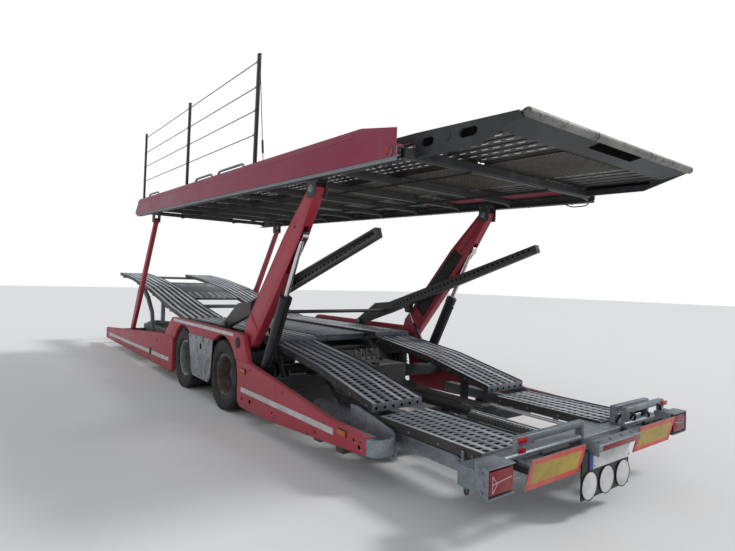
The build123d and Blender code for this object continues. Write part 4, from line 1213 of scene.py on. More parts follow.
# The apron and its beam take the dark chassis paint rather than the zinc of the planks: painted shade
# under the lip.
mesh = bmesh.new()
apron = [(-1.90, 0.182), (-2.13, 0.233), (-2.13, 0.243), (-1.90, 0.19)]
prism(mesh, apron, (-1.058, 1.058), on_deck)
box(mesh, (-1.235, -1.185), (-1.058, 1.058), (0.112, 0.166), on_deck)
piece("tail_apron", mesh, "upper_deck", dark_paint, "track_steel", smooth=20)
# A black sheet behind the slots is painted shade inside the rail.
mesh = bmesh.new()
pair(mesh, rectangle((-1.80, -1.24), (0.165, 0.245)), (1.0562, 1.0595), on_deck)
piece("tail_backs", mesh, "upper_deck", hole_shade, "dark_paint")

# %% Rolled lip with a dark slot
mesh = bmesh.new()
for middle in (-0.712, 0, 0.712):
    low, high = middle - 0.35, middle + 0.35
    rod(mesh, on_deck(-2.105, low, 0.245), on_deck(-2.105, high, 0.245), 0.028, corners=20)
    lip_top = [(-2.10, 0.262), (-2.10, 0.273), (-1.93, 0.215), (-1.93, 0.205)]
    prism(mesh, lip_top, (low, high), on_deck)
piece("rolled_lip", mesh, "upper_deck", weathered_zinc, "galvanised", smooth=30)
# The recess under the lip is a thin black sheet: painted shade.
mesh = bmesh.new()
recess = [(-2.085, 0.2215), (-2.085, 0.2195), (-2.005, 0.2015), (-2.005, 0.2040)]
prism(mesh, recess, (-0.30, 0.26), on_deck)
piece("lip_recess", mesh, "upper_deck", hole_shade, "galvanised")

# %% Rims round the slots, and the plug
mesh = bmesh.new()
for side in sides:
    for u, length in rail_slots:
        loops = []
        for grow, out in ((0.014, 0.0), (0.0, 0.003)):
            points = slot_points(u, slot_w, length + grow, slot_height + grow)
            loops.append([mesh.verts.new(on_deck(a, side * (tail_half + out), b)) for a, b in points])
        walls(mesh, *loops)
pins(mesh, [(-1.51, 0.21)], (1.062, 1.086), 0.026, 20, on_deck)
piece("tail_slot_rims", mesh, "upper_deck", dark_paint, "dark_paint")
print("tail of the deck dressed")

# %% [markdown]
# ## Red side panels
# The panels carry what a road vehicle needs along its flanks: strips of white reflective sheet,
# amber markers, bolt heads, rubber plugs and drain holes. The strips are a hair thicker than paint
# and follow the slope of each sill, and the holes are dark discs with a thin rim, since nothing
# behind them shows.

# %% Reflective strips
skin_y = (half_width + 0.0003, half_width + 0.0022)
mesh = bmesh.new()
pair(mesh, [(2.06, 0.262), (2.06, 0.318), (6.45, 0.262), (6.45, 0.206)], skin_y)
pair(mesh, rectangle((-0.32, 1.86), (0.868, 0.905)), skin_y)
pair(mesh, rectangle((-2.345, -0.57), (0.316, 0.366)), skin_y)
piece("reflective_strips", mesh, "frame", white_sheet, "red_paint")
mesh = bmesh.new()
pair(mesh, rectangle((-0.70, 6.05), (0.300, 0.322)), (1.2603, 1.2618), on_deck)
piece("deck_strip", mesh, "upper_deck", deck_red_paint, "deck_red_paint")

# %% Holes with thin rims
hole_table = [
    # x, z, radius
    (6.55, 0.31, 0.014),
    (4.30, 0.20, 0.012),
    (2.71, 0.502, 0.016),
    (2.50, 0.207, 0.014),
    (-0.60, 0.25, 0.015),
    (-0.80, 0.255, 0.022),
    (-1.30, 0.255, 0.010),
    (-2.08, 0.272, 0.011),
    (-2.62, 0.350, 0.012),
    (-2.69, 0.315, 0.016),
    (-2.71, 0.360, 0.008),
]
rims_mesh, dark_mesh = bmesh.new(), bmesh.new()
rim_y = half_width + 0.003
for x, z, r in hole_table:
    for side in sides:
        profile = [(half_width, r * 1.25), (rim_y, r * 1.15), (rim_y, r), (half_width, r)]
        turned(rims_mesh, profile, at(x, 0, z), side, corners=20)
    pins(dark_mesh, [(x, z)], (half_width - 0.001, half_width + 0.0016), r, 20)
piece("hole_rims", rims_mesh, "frame", red_paint, "red_paint")
piece("hole_darkness", dark_mesh, "frame", hole_shade, "red_paint")

# %% Plugs, seams and edge flanges
mesh = bmesh.new()
plug = [(1.249, 0.060), (1.257, 0.058), (1.259, 0.048), (1.2585, 0.0)]
for side in sides:
    for x, z in ((-0.455, 0.815), (3.07, 0.290)):
        turned(mesh, plug, at(x, 0, z), side, corners=36, closed=False)
piece("arch_plugs", mesh, "frame", black_plastic, "red_paint")
seam_table = [
    # x, z low, z high
    (5.55, 0.145, 0.408),
    (4.05, 0.145, 0.508),
    (2.52, 0.145, 0.620),
    (-1.36, 0.178, 0.530),
    (-2.30, 0.250, 0.415),
]
mesh = bmesh.new()
for x, low, high in seam_table:
    seam = rectangle((x - 0.0025, x + 0.0025), (low, high))
    pair(mesh, seam, (half_width, half_width + 0.0008))
piece("panel_seams", mesh, "frame", deck_red_paint, "red_paint")
mesh = bmesh.new()
fold_y = half_width + 0.002
pair(mesh, rectangle((1.96, 6.80), (0.128, 0.140)), (1.19, fold_y))
pair(mesh, [(2.45, 0.630), (6.80, 0.340), (6.80, 0.349), (2.45, 0.640)], (1.20, fold_y))
rear_fold = [(-0.72, 0.63), (-2.30, 0.415), (-2.76, 0.395)]
rear_fold += [(-2.76, 0.404), (-2.30, 0.424), (-0.72, 0.64)]
pair(mesh, rear_fold, (1.20, fold_y))
piece("sill_folds", mesh, "frame", red_paint, "red_paint", soften=0.002)

# %% Bolt rows on the sills and the guard plates
bolt_y = half_width + 0.004
sill_lines = mirrored(
    [(2.60, bolt_y, 0.20), (6.60, bolt_y, 0.20)],
    [(-2.20, bolt_y, 0.385), (-0.78, bolt_y, 0.578)],
    [(-1.95, bolt_y, 0.235), (-0.70, bolt_y, 0.200)],
)
rows("sill_bolts", sill_lines, small_bolt, 0.50, "frame", galvanised, "red_paint")
guard_lines = mirrored(
    [(0.40, bolt_y, 0.735), (1.10, bolt_y, 0.735)],
    [(0.42, bolt_y, 0.275), (1.02, bolt_y, 0.275)],
)
rows("guard_bolts", guard_lines, small_bolt, 0.22, "frame", galvanised, "galvanised")

# %% Amber markers
base_mesh, lens_mesh = bmesh.new(), bmesh.new()
for x, z in ((-0.620, 0.538), (-2.47, 0.366)):
    pair(base_mesh, rectangle((x - 0.060, x + 0.060), (z - 0.026, z + 0.026)), (1.2495, 1.2555))
    pair(lens_mesh, rectangle((x - 0.054, x + 0.054), (z - 0.020, z + 0.020)), (1.2552, 1.2665))
piece("marker_bases", base_mesh, "frame", black_plastic, "red_paint", soften=0.002)
piece("marker_lenses", lens_mesh, "frame", amber_lens, "red_paint", soften=0.004)
print("side panels dressed")

# %% Pressed ribs on the platform's plate
front_rise, middle_rise = 0.16 / 1.2, 0.29 / 1.5
slot_rows = [
    # x of the row, z of the plate there, its rise, ribs, length along the plate
    (4.78, 1.29 + 0.38 * front_rise, front_rise, 16, 0.06),
    (4.62, 1.29 + 0.22 * front_rise, front_rise, 14, 0.06),
    (3.84, 1.00 + 0.94 * middle_rise, middle_rise, 7, 0.36),
    (3.60, 1.00 + 0.70 * middle_rise, middle_rise, 8, 0.07),
]
row_half = 0.37
pressed_width = 0.042
# the share of the foot's length and width that the crest has, and its height
foot_shape, crest_shape = (1.0, 1.0, 0.0), (0.94, 0.7, 0.006)
mesh = bmesh.new()
for x, z, rise, count, length in slot_rows:
    points = slot_points(0, 0, length, pressed_width, count=4)
    for number in range(count):
        y = row_half * (2 * number / (count - 1) - 1)
        loops = []
        for along, across, height in (foot_shape, crest_shape):
            loop = []
            for u, v in points:
                place = at(x + u * along, y + v * across, z + u * along * rise + height)
                loop.append(mesh.verts.new(place))
            loops.append(loop)
        mesh.faces.new(loops[1])
        walls(mesh, *loops)
piece("platform_ribs", mesh, "front_platform", polish_and_glint, "track_steel", smooth=30)

# %% [markdown]
# ## Rear arms and lift cylinders
# Each rear arm is a welded box whose side plates stand a little proud, with a small hole near its
# top and pin heads at both ends. The far arm shows a black cover on its inner face. The cylinders
# behind them need what any ram has: a gland nut, welded ports and a pipe.


# %% Places along an arm
def arm_places(base, top):
    """A function for places u up an arm and v towards its front, from its two pivots."""
    base, top = Vector(base), Vector(top)
    run = (top - base).normalized()
    front = Vector((run.y, -run.x))

    def place(u, y, v):
        spot = base + run * u + front * v
        return at(spot.x, y, spot.y)

    return place


on_arm = arm_places((-0.50, 0.82), (-1.80, 2.30))
on_front_arm = arm_places((4.90, 0.45), (3.45, 2.43))

# %% Doubling plates, pin heads and the small hole
mesh = bmesh.new()
foot_plate = [(-0.05, -0.05), (-0.05, 0.05), (0.115, 0.128)]
foot_plate += [(0.30, 0.132), (0.30, -0.128), (0.115, -0.128)]
top_plate = [(1.62, -0.098), (1.62, 0.092), (1.96, 0.052)]
top_plate += [(2.005, 0.03), (2.005, -0.03), (1.96, -0.052)]
front_fold = [(0.12, 0.140), (1.35, 0.125), (1.95, 0.061)]
front_fold += [(1.95, 0.068), (1.35, 0.132), (0.12, 0.147)]
pair(mesh, foot_plate, (1.175, 1.181), on_arm)
pair(mesh, top_plate, (1.175, 1.178), on_arm)
pair(mesh, foot_plate, (1.079, 1.085), on_arm)
pair(mesh, front_fold, (1.083, 1.177), on_arm)
piece("arm_plates", mesh, "rear_arms", red_paint, "red_paint", soften=0.002)
mesh = bmesh.new()
# The small hole near the arm's top is a black disc in the covers' plastic: painted shade.
pins(mesh, [(1.54, 0.02)], (1.1745, 1.1762), 0.014, 16, on_arm)
cover = [(0.42, -0.075), (0.42, 0.095), (0.55, 0.110), (1.28, 0.095), (1.40, 0.075), (1.40, -0.06)]
pair(mesh, cover, (1.074, 1.085), on_arm)
piece("arm_covers", mesh, "rear_arms", black_plastic, "black_paint", soften=0.003)
mesh = bmesh.new()
for radius, y in ((0.036, (1.19, 1.1995)), (0.020, (1.19, 1.206)), (0.034, (1.066, 1.054))):
    pins(mesh, [(0, 0)], y, radius, 24, on_deck)
for y in (1.060, 1.198):
    pins(mesh, [(-0.05, 0.09), (0.05, 0.09)], (y, y + 0.006), 0.011, 6, on_deck)
piece("arm_pin_heads", mesh, "upper_deck", galvanised, "galvanised", soften=0.002)
mesh = bmesh.new()
pins(mesh, [(0, 0)], (1.081, 1.071), 0.052, 24, on_arm)
pins(mesh, [(0, 0)], (1.082, 1.062), 0.024, 12, on_arm)
piece("arm_foot_rings", mesh, "rear_arms", dark_paint, "red_paint", soften=0.002)


# %% A cylinder's gland, ports and pipe
def ram_details(name, body, base, eye, y, barrel_r, length, rod_r):
    """What the barrels of a pair of rams carry, each from its foot towards its rod's eye."""
    spot = arm_places(base, eye)
    mesh = bmesh.new()
    for side in sides:
        bars = [
            # start up the barrel, end, how far behind it, radius, corners
            (length - 0.055, length + 0.012, 0, barrel_r * 1.07, 32),
            (length + 0.010, length + 0.026, 0, rod_r * 1.5, 24),
            (0.045, 0.075, 0, barrel_r * 1.05, 32),
            (0.11, length - 0.09, barrel_r * 1.24, barrel_r * 0.11, 10),
        ]
        for start, end, back, radius, corners in bars:
            rod(mesh, spot(start, side * y, -back), spot(end, side * y, -back), radius, corners)
        for u in (0.11, length - 0.09):
            port = (spot(u, side * y, -barrel_r * 0.8), spot(u, side * y, -barrel_r * 1.32))
            rod(mesh, *port, barrel_r * 0.24, corners=8)
    piece(name, mesh, body, black_paint, "black_paint", smooth=30)


ram_details("lift_ram_details", "lift_barrels", (-0.89, 0.57), (-1.58, 1.91), 1.13, 0.058, 0.85, 0.025)
ram_details("strut_details", "strut_barrels", (-0.93, 0.69), (-0.62, 1.15), 1.02, 0.018, 0.33, 0.010)
mesh = bmesh.new()
rod(mesh, at(-2.56, 0, 0.40), at(-2.622, 0, 0.40), 0.049, corners=32)
rod(mesh, at(-2.62, 0, 0.40), at(-2.634, 0, 0.40), 0.030, corners=24)
for x in (-2.50, -1.80):
    rod(mesh, at(x, 0, 0.43), at(x, 0, 0.462), 0.014, corners=8)
rod(mesh, at(-2.50, 0, 0.457), at(-1.80, 0, 0.457), 0.007, corners=10)
piece("ram_details", mesh, "frame", black_paint, "black_paint", smooth=30)

# %% Swing frame: punched webs and pin heads
# The punched web holes are black plugs: painted shade in place of the openings.
plug_mesh = bmesh.new()
rod(plug_mesh, (0, -0.0052, 0), (0, 0.0052, 0), 0.013, corners=12)
web_plug = stamp_object("web_plug", plug_mesh)
holes = mirrored([(-2.47, 0.994, 1.872), (-0.36, 0.994, 1.203)])
rows("swing_holes", holes, web_plug, 0.068, "swing_frame", hole_shade, "grey_paint")
mesh = bmesh.new()
for radius, y in ((0.032, (1.066, 1.0685)), (0.018, (1.066, 1.075)), (0.03, (0.9735, 0.966))):
    pins(mesh, [(0.43, 0.93)], y, radius, 20)
piece("swing_pin_heads", mesh, "frame", galvanised, "dark_paint", soften=0.002)

# %% [markdown]
# ## Front arms and fence
# The front arms carry a pin at both ends and a pair of small plates. The three fence posts have a
# cap and a foot plate, and every wire rope ends in a small clamp with a ring. A thin stay with a
# turnbuckle holds the rear post, and low tube hoops stand on the deck beside the posts.

# %% Front arm ends
mesh = bmesh.new()
for radius, u in ((0.040, 0.0), (0.032, 2.43)):
    for y in ((1.159, 1.167), (1.101, 1.094)):
        pins(mesh, [(u, 0)], y, radius, 24, on_front_arm)
lug = [(0.88, -0.072), (0.88, 0.090), (1.04, 0.062), (1.04, -0.052)]
pair(mesh, lug, (1.1595, 1.1640), on_front_arm)
piece("front_arm_ends", mesh, "front_arms", red_paint, "red_paint", soften=0.002)

# %% Post caps, feet, rope clamps and the stay
post_u = (1.15, 3.40, 5.80)
rope_levels = (1.255, 0.990, 0.745, 0.490)
rope_y = 1.215
sill_w = 0.182
mesh = bmesh.new()
for u in post_u:
    box(mesh, (u - 0.028, u + 0.028), (1.197, 1.233), (1.498, 1.506), on_deck)
    box(mesh, (u - 0.070, u + 0.070), (1.190, 1.243), (sill_w, 0.190), on_deck)
    box(mesh, (u - 0.034, u + 0.034), (1.193, 1.237), (0.19, 0.36), on_deck)
piece("post_feet", mesh, "upper_deck", black_paint, "black_paint", soften=0.003)
mesh = bmesh.new()
for u in post_u:
    ways = [way for way in sides if post_u[0] <= u + way <= post_u[-1]]
    for w in [sill_w + level for level in rope_levels]:
        for way in ways:
            near, far, ring_u = u + way * 0.026, u + way * 0.075, u + way * 0.060
            rod(mesh, on_deck(near, rope_y, w), on_deck(far, rope_y, w), 0.0085, corners=10)
            rod(mesh, on_deck(ring_u, 1.205, w), on_deck(ring_u, 1.226, w), 0.005, corners=6)
        rod(mesh, on_deck(u, 1.228, w), on_deck(u, 1.238, w), 0.010, corners=8)
piece("rope_clamps", mesh, "upper_deck", galvanised, "galvanised", smooth=30)
mesh = bmesh.new()
rod(mesh, on_deck(1.13, rope_y, 1.43), on_deck(0.93, rope_y, 0.26), 0.004, corners=8)
rod(mesh, on_deck(0.985, rope_y, 0.58), on_deck(0.962, rope_y, 0.45), 0.011, corners=10)
rod(mesh, on_deck(0.93, 1.205, 0.26), on_deck(0.93, 1.226, 0.26), 0.012, corners=10)
box(mesh, (0.90, 0.96), (1.205, 1.226), (sill_w, 0.262), on_deck)
piece("post_stay", mesh, "upper_deck", wire_rope, "galvanised", smooth=30)


# %% Bent tubes
bend_steps = 5


def bent_tube(name, places, radius, body, finish, slot, bend=0.05):
    """A tube through a few places with rounded corners, as a curve turned into a mesh."""
    path = [Vector(places[0])]
    for before, corner, after in zip(places, places[1:], places[2:]):
        corner = Vector(corner)
        back, on = Vector(before) - corner, Vector(after) - corner
        start = corner + back.normalized() * min(bend, back.length / 2)
        end = corner + on.normalized() * min(bend, on.length / 2)
        for step in range(bend_steps + 1):
            t = step / bend_steps
            path.append(start * (1 - t) ** 2 + corner * 2 * t * (1 - t) + end * t**2)
    path.append(Vector(places[-1]))
    thing = curve_object(name, "3D", [path], False)
    thing.data.bevel_depth = radius
    thing.data.bevel_resolution = 3
    thing.data.use_fill_caps = True
    made = plain_mesh(thing)
    mesh = bmesh.new()
    mesh.from_mesh(made.data)
    bpy.data.objects.remove(made)
    bmesh.ops.remove_doubles(mesh, verts=mesh.verts, dist=0.00002)
    return piece(name, mesh, body, finish, slot, smooth=40)


def tube_pair(name, places, *settings, bend=0.05, place=at):
    """The same bent tube on both sides, from (x, y, z) places; the name has braces for the side."""
    for label, line in zip(("left", "right"), mirrored(places, place=place)):
        bent_tube(name.format(label), line, *settings, bend=bend)


for number, (first, last) in enumerate(((1.55, 2.35), (2.55, 3.20), (5.05, 5.65))):
    hoop = [on_deck(u, 1.16, w) for u, w in ((first, 0.18), (first, 0.43), (last, 0.43), (last, 0.18))]
    bent_tube(f"deck_hoop_{number}", hoop, 0.014, "upper_deck", galvanised, "galvanised", bend=0.08)

# %% [markdown]
# ## Deck lamps and the cable
# A red lamp sits at the rear end of each deck panel, in a zinc ring, and its cable hangs in a loop
# under the rail. The lens is turned with a shallow dome.

# %% Deck lamps
mesh, lens_mesh = bmesh.new(), bmesh.new()
lamp_place = on_deck(deck_u[0] + 0.06, 0, 0.14)
bezel = [(1.2605, 0.036), (1.272, 0.036), (1.276, 0.032), (1.270, 0.029), (1.2605, 0.029)]
dome = [(1.2655, 0.0295), (1.279, 0.0285), (1.286, 0.022), (1.2895, 0.010), (1.290, 0.0)]
for side in sides:
    turned(mesh, bezel, lamp_place, side, corners=32)
    turned(lens_mesh, dome, lamp_place, side, corners=32, closed=False)
piece("deck_lamp_rings", mesh, "upper_deck", galvanised, "red_lens")
lamp_domes = piece("deck_lamp_domes", lens_mesh, "upper_deck", reflector_lens, "red_lens")
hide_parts("deck_lamps")
cable = [(-1.16, 1.245, 0.10), (-1.15, 1.235, 0.045), (-0.98, 1.225, 0.040), (-0.90, 1.215, 0.085)]
tube_pair("deck_cable_{}", cable, 0.0055, "upper_deck", hose_rubber, "black_paint", place=on_deck)

# %% [markdown]
# ## Tail: lamps, boards and blank plates
# The tail is the busiest part. Rounded grey housings hold red lamps, each with a pale figure of two
# crossing strips that is only a lens pattern. The marking boards are yellow sheet with a wide red
# border. The number plate and the three round plates below it carry no text, so only a band, a
# rim and their mounting screws are left.

# %% Lamps
mesh, lens_mesh, bright_mesh = bmesh.new(), bmesh.new(), bmesh.new()
pair(mesh, rectangle((-3.838, -3.829), (0.350, 0.506)), (1.016, 1.241))
pair(lens_mesh, rectangle((-3.850, -3.8375), (0.362, 0.494)), (1.024, 1.234))
lens_face_x = -3.8502
figure = [
    # y and z of both ends of each strip
    ((1.205, 0.372), (1.205, 0.470)),
    ((1.205, 0.421), (1.040, 0.440)),
    ((1.205, 0.372), (1.165, 0.421)),
    ((1.205, 0.470), (1.165, 0.421)),
]
for start, end in mirrored(*[[(lens_face_x, y, z) for y, z in strip] for strip in figure]):
    rod(bright_mesh, start, end, 0.003, corners=6)
piece("lamp_frames", mesh, "rear_extension", black_plastic, "red_lens", soften=0.004)
lamp_lenses = piece("lamp_lenses", lens_mesh, "rear_extension", red_lens, "red_lens", soften=0.005)
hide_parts("tail_lamps")
piece("lamp_figures", bright_mesh, "rear_extension", clear_lens, "red_lens")

# %% Housings with rounded ends and fixings
mesh = bmesh.new()
pins(mesh, [(-3.81, 0.372), (-3.81, 0.483)], (1.2445, 1.2515), 0.009, 8)
pair(mesh, rectangle((-3.856, -3.757), (0.5065, 0.514)), (1.012, 1.2475))
wrap = [(-3.856, 0.354), (-3.856, 0.514), (-3.828, 0.514), (-3.828, 0.336), (-3.840, 0.340)]
pair(mesh, wrap, (1.2430, 1.2485))
pair(mesh, rectangle((-3.852, -3.80), (0.342, 0.348)), (1.012, 1.2475))
piece("housing_fixings", mesh, "rear_extension", galvanised, "galvanised", soften=0.002)

# %% Hangers under the tail tracks, with their stay rods
hanger = [(-3.42, 0.968, 0.448), (-3.435, 0.985, 0.38), (-3.475, 1.0, 0.23)]
tube_pair("hanger_{}", hanger, 0.012, "rear_extension", galvanised, "galvanised")
stay = [(-3.55, 0.968, 0.450), (-3.53, 0.985, 0.38), (-3.502, 1.0, 0.25)]
tube_pair("hanger_stay_{}", stay, 0.007, "rear_extension", dark_paint, "galvanised")
foot = [(-3.472, 1.0, 0.245), (-3.478, 1.005, 0.205), (-3.500, 1.005, 0.205), (-3.503, 1.0, 0.265)]
tube_pair("hanger_foot_{}", foot, 0.009, "rear_extension", dark_paint, "galvanised", bend=0.02)
mesh = bmesh.new()
stays = [[(-3.34, 0.925, 0.358 + lift), (-3.503, 1.004, 0.345 + lift)] for lift in (0.0, 0.022)]
for start, end in mirrored(*stays):
    rod(mesh, start, end, 0.006, corners=10)
pins(mesh, [(-3.502, 0.285)], (0.985, 1.02), 0.020, 16)
piece("hanger_rods", mesh, "rear_extension", galvanised, "galvanised", soften=0.001)

# %% Marking boards with a red border
board_top = (-3.900, 0.517)
board_lean = radians(14)
board_y = (0.357, 0.922)
board_height = 0.198
border = 0.036
screw_inset = 0.02


def on_board(down, out, y):
    """A place on a board's outer face: down from its top edge and out from the face."""
    x = board_top[0] + down * sin(board_lean) - out * cos(board_lean)
    z = board_top[1] - down * cos(board_lean) - out * sin(board_lean)
    return at(x, y, z)


border_mesh, field_mesh, screw_mesh = bmesh.new(), bmesh.new(), bmesh.new()
inner_down = (border, board_height - border)
for side in sides:
    low, high = span(side, *board_y)
    inner_y = (low + border, high - border)
    for down, y in (
        ((0, border), (low, high)),
        ((inner_down[1], board_height), (low, high)),
        (inner_down, (low, inner_y[0])),
        (inner_down, (inner_y[1], high)),
    ):
        box(border_mesh, down, (-0.0002, 0.0014), y, on_board)
    box(field_mesh, inner_down, (-0.0002, 0.0010), inner_y, on_board)
    for y in (low + screw_inset, high - screw_inset):
        for down in (screw_inset, board_height - screw_inset):
            rod(screw_mesh, on_board(down, 0.0, y), on_board(down, 0.004, y), 0.006, corners=10)
piece("board_borders", border_mesh, "rear_extension", board_red, "board_yellow")
piece("board_fields", field_mesh, "rear_extension", board_yellow, "board_yellow")
piece("board_screws", screw_mesh, "rear_extension", galvanised, "galvanised")
finish_node("marking_boards", galvanised)
mesh = bmesh.new()
pins(mesh, [(-3.86, 0.520)], (0.50, 0.78), 0.012, 12)
piece("board_lamps", mesh, "rear_extension", black_plastic, "galvanised")

# %% Blank plate and round plates
plate_x = -3.870
plate_z = (0.325, 0.435)
disc_places = (0.265, 0.050, -0.165)
disc_z = 0.225
mesh = bmesh.new()
box(mesh, (-3.8765, plate_x), (-0.250, 0.225), plate_z)
for y in disc_places:
    rod(mesh, at(plate_x, y, disc_z), at(-3.8762, y, disc_z), 0.091, corners=48)
plates = piece("plates_white", mesh, "rear_extension", white_sheet, "plate_white", soften=0.001)
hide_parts("blank_plates")
mesh = bmesh.new()
box(mesh, (-3.8766, plate_x), (0.225, 0.270), plate_z)
piece("plate_band", mesh, "rear_extension", plate_blue, "plate_white", soften=0.001)
mesh = bmesh.new()
disc_rim = [(0, 0.0945), (0.0072, 0.0945), (0.0072, 0.0880), (0, 0.0880)]
for y in disc_places:
    turned(mesh, disc_rim, at(plate_x, y, disc_z), axis="X")
for y, z in ((-0.24, 0.345), (-0.24, 0.415), (0.215, 0.345), (0.215, 0.415)):
    rod(mesh, at(-3.8765, y, z), at(-3.8785, y, z), 0.005, corners=10)
piece("plate_rims", mesh, "rear_extension", plate_black, "plate_dark")

# %% Light bar with its red strip
mesh = bmesh.new()
box(mesh, (-3.9425, -3.938), (-0.265, 0.225), (0.460, 0.492))
piece("bar_strip", mesh, "rear_extension", red_lens, "red_lens", soften=0.003)
mesh = bmesh.new()
for y in (-0.24, -0.10, 0.05, 0.20):
    rod(mesh, at(-3.895, y, 0.4995), at(-3.895, y, 0.507), 0.012, corners=6)
bar_end = [(-3.94, 0.430), (-3.94, 0.512), (-3.87, 0.528), (-3.848, 0.528), (-3.848, 0.455)]
prism(mesh, bar_end + [(-3.90, 0.430)], (0.268, 0.275))
piece("bar_bolts", mesh, "rear_extension", galvanised, "galvanised", soften=0.001)

# %% Rack and rod between the tracks
mesh = bmesh.new()
box(mesh, (-3.55, -2.75), (0.150, 0.190), (0.395, 0.425))
piece("rack_bar", mesh, "rear_extension", dark_paint, "dark_paint", soften=0.002)
rack_tooth = stamp_box("rack_tooth", 0.016, 0.038, 0.020)
rack_line = [[at(-3.53, 0.170, 0.434), at(-2.77, 0.170, 0.434)]]
rows("rack_teeth", rack_line, rack_tooth, 0.034, "rear_extension", dark_paint, "dark_paint")
mesh = bmesh.new()
rod(mesh, at(-3.57, -0.26, 0.425), at(-2.62, -0.26, 0.425), 0.015, corners=16)
piece("guide_rod", mesh, "rear_extension", rod_chrome, "chrome", smooth=30)

# %% Reflectors and tubes at the hoops
mesh = bmesh.new()
for y in (0.778, -1.148):
    box(mesh, (-3.722, -3.713), (y - 0.060, y + 0.030), (0.540, 0.575))
    box(mesh, (-3.722, -3.713), (y - 0.045, y + 0.020), (0.470, 0.510))
piece("hoop_reflectors", mesh, "rear_extension", reflector_lens, "red_lens", soften=0.003)
mesh = bmesh.new()
for low, high in ((-1.12, -0.50), (0.11, 0.98)):
    rod(mesh, at(-3.705, low, 0.466), at(-3.705, high, 0.466), 0.022, corners=16)
piece("beam_tubes", mesh, "rear_extension", galvanised, "galvanised", soften=0.002)
for number, (y, height) in enumerate(((-0.55, 0.55), (-0.78, 0.53), (-0.98, 0.57))):
    loop = [at(-3.62, y, 0.455), at(-3.66, y - 0.02, height)]
    loop += [at(-3.74, y - 0.09, height - 0.01), at(-3.70, y - 0.12, 0.455)]
    looks = ("rear_extension", hose_rubber, "black_paint")
    bent_tube(f"tail_hose_{number}", loop, 0.009, *looks, bend=0.06)
print("arms, fence and tail dressed")

# %% [markdown]
# ## Suspension and brakes
# Under the axle deck each wheel pair hangs on a trailing arm with an air spring. What tells such a
# spring from a plain drum is its rolled rubber folds, so its profile is turned about an upright
# axis. U-bolts clamp the arm to the axle, a damper leans beside it and a brake chamber pushes a lever.

# %% Air springs, dampers and brake chambers
axle_places = (1.42, 0.0)
spring_y = 0.60
damper_y = 0.505
chamber_y = 0.44
spring_folds = [(0.0, 0.093)]
for low in (0.008, 0.056, 0.104):
    spring_folds += [(low, 0.094), (low + 0.012, 0.112), (low + 0.030, 0.112), (low + 0.044, 0.094)]
spring_folds += [(0.158, 0.093), (0.158, 0.060), (0.0, 0.060)]
dampers = (((-0.20, 0.42), (-0.03, 0.70), 0.022), ((-0.25, 0.34), (-0.17, 0.47), 0.027))
plate_ring = [(0, 0.097), (0.007, 0.097), (0.007, 0.05), (0, 0.05)]
chamber = [(-0.06, 0.02), (-0.06, 0.07), (-0.02, 0.082), (0.0, 0.084)]
chamber += [(0.02, 0.082), (0.05, 0.06), (0.06, 0.02)]
spring_mesh, plate_mesh, damper_mesh, chamber_mesh = (bmesh.new() for _ in range(4))
for axle_x in axle_places:
    for side in sides:
        spring_x, chamber_x = axle_x - 0.32, axle_x + 0.16
        turned(spring_mesh, spring_folds, at(spring_x, side * spring_y, 0.527), corners=32, axis="Z")
        for z in (0.525, 0.684):
            turned(plate_mesh, plate_ring, at(spring_x, side * spring_y, z), corners=32, axis="Z")
        for (back, low), (front, high), radius in dampers:
            start = at(axle_x + back, side * damper_y, low)
            rod(damper_mesh, start, at(axle_x + front, side * damper_y, high), radius, corners=16)
        turned(chamber_mesh, chamber, at(chamber_x, side * chamber_y, 0.42), corners=28)
    pins(chamber_mesh, [(chamber_x, 0.42)], (0.50, 0.60), 0.010, 10)
    pair(chamber_mesh, rectangle((axle_x + 0.02, axle_x + 0.18), (0.385, 0.435)), (0.595, 0.610))
    pins(chamber_mesh, [(axle_x + 0.03, 0.40)], (0.42, 0.735), 0.018, 12)
piece("air_springs", spring_mesh, "frame", hose_rubber, "dark_paint", smooth=50)
piece("spring_plates", plate_mesh, "frame", galvanised, "dark_paint")
piece("dampers", damper_mesh, "frame", black_paint, "dark_paint", smooth=30)
piece("brake_chambers", chamber_mesh, "frame", dark_paint, "dark_paint", smooth=40)

# %% U-bolts over the axle beams
u_bolt_y = (0.548, 0.622)
u_bolt_x = 0.068
u_bolts = [(axle_x, side * y) for axle_x in axle_places for side in sides for y in u_bolt_y]
for number, (axle_x, y) in enumerate(u_bolts):
    back, front = axle_x - u_bolt_x, axle_x + u_bolt_x
    u_bolt = [at(back, y, 0.545), at(back, y, 0.330), at(front, y, 0.330), at(front, y, 0.545)]
    bent_tube(f"u_bolt_{number}", u_bolt, 0.009, "frame", dark_paint, "dark_paint", bend=0.06)
mesh = bmesh.new()
brake_plate = [(0.700, 0.064), (0.700, 0.150), (0.712, 0.165), (0.716, 0.165), (0.716, 0.064)]
for axle_x, y in u_bolts:
    for x in (axle_x - u_bolt_x, axle_x + u_bolt_x):
        rod(mesh, at(x, y, 0.524), at(x, y, 0.540), 0.017, corners=6)
for axle_x in axle_places:
    for side in sides:
        turned(mesh, brake_plate, at(axle_x, 0, wheel_radius), side)
piece("axle_plates", mesh, "frame", dark_paint, "dark_paint", smooth=30)

# %% [markdown]
# ## Hydraulic unit and pipes
# Between the tracks sit the oil tank, the valve block and the winch-like drum of the platform. The
# CAD gives their bulk, and here they get a filler cap, a gauge, straps and bolt heads. Fixed pipes
# run along the rails with a clip every half metre, and black hoses loop to each cylinder.

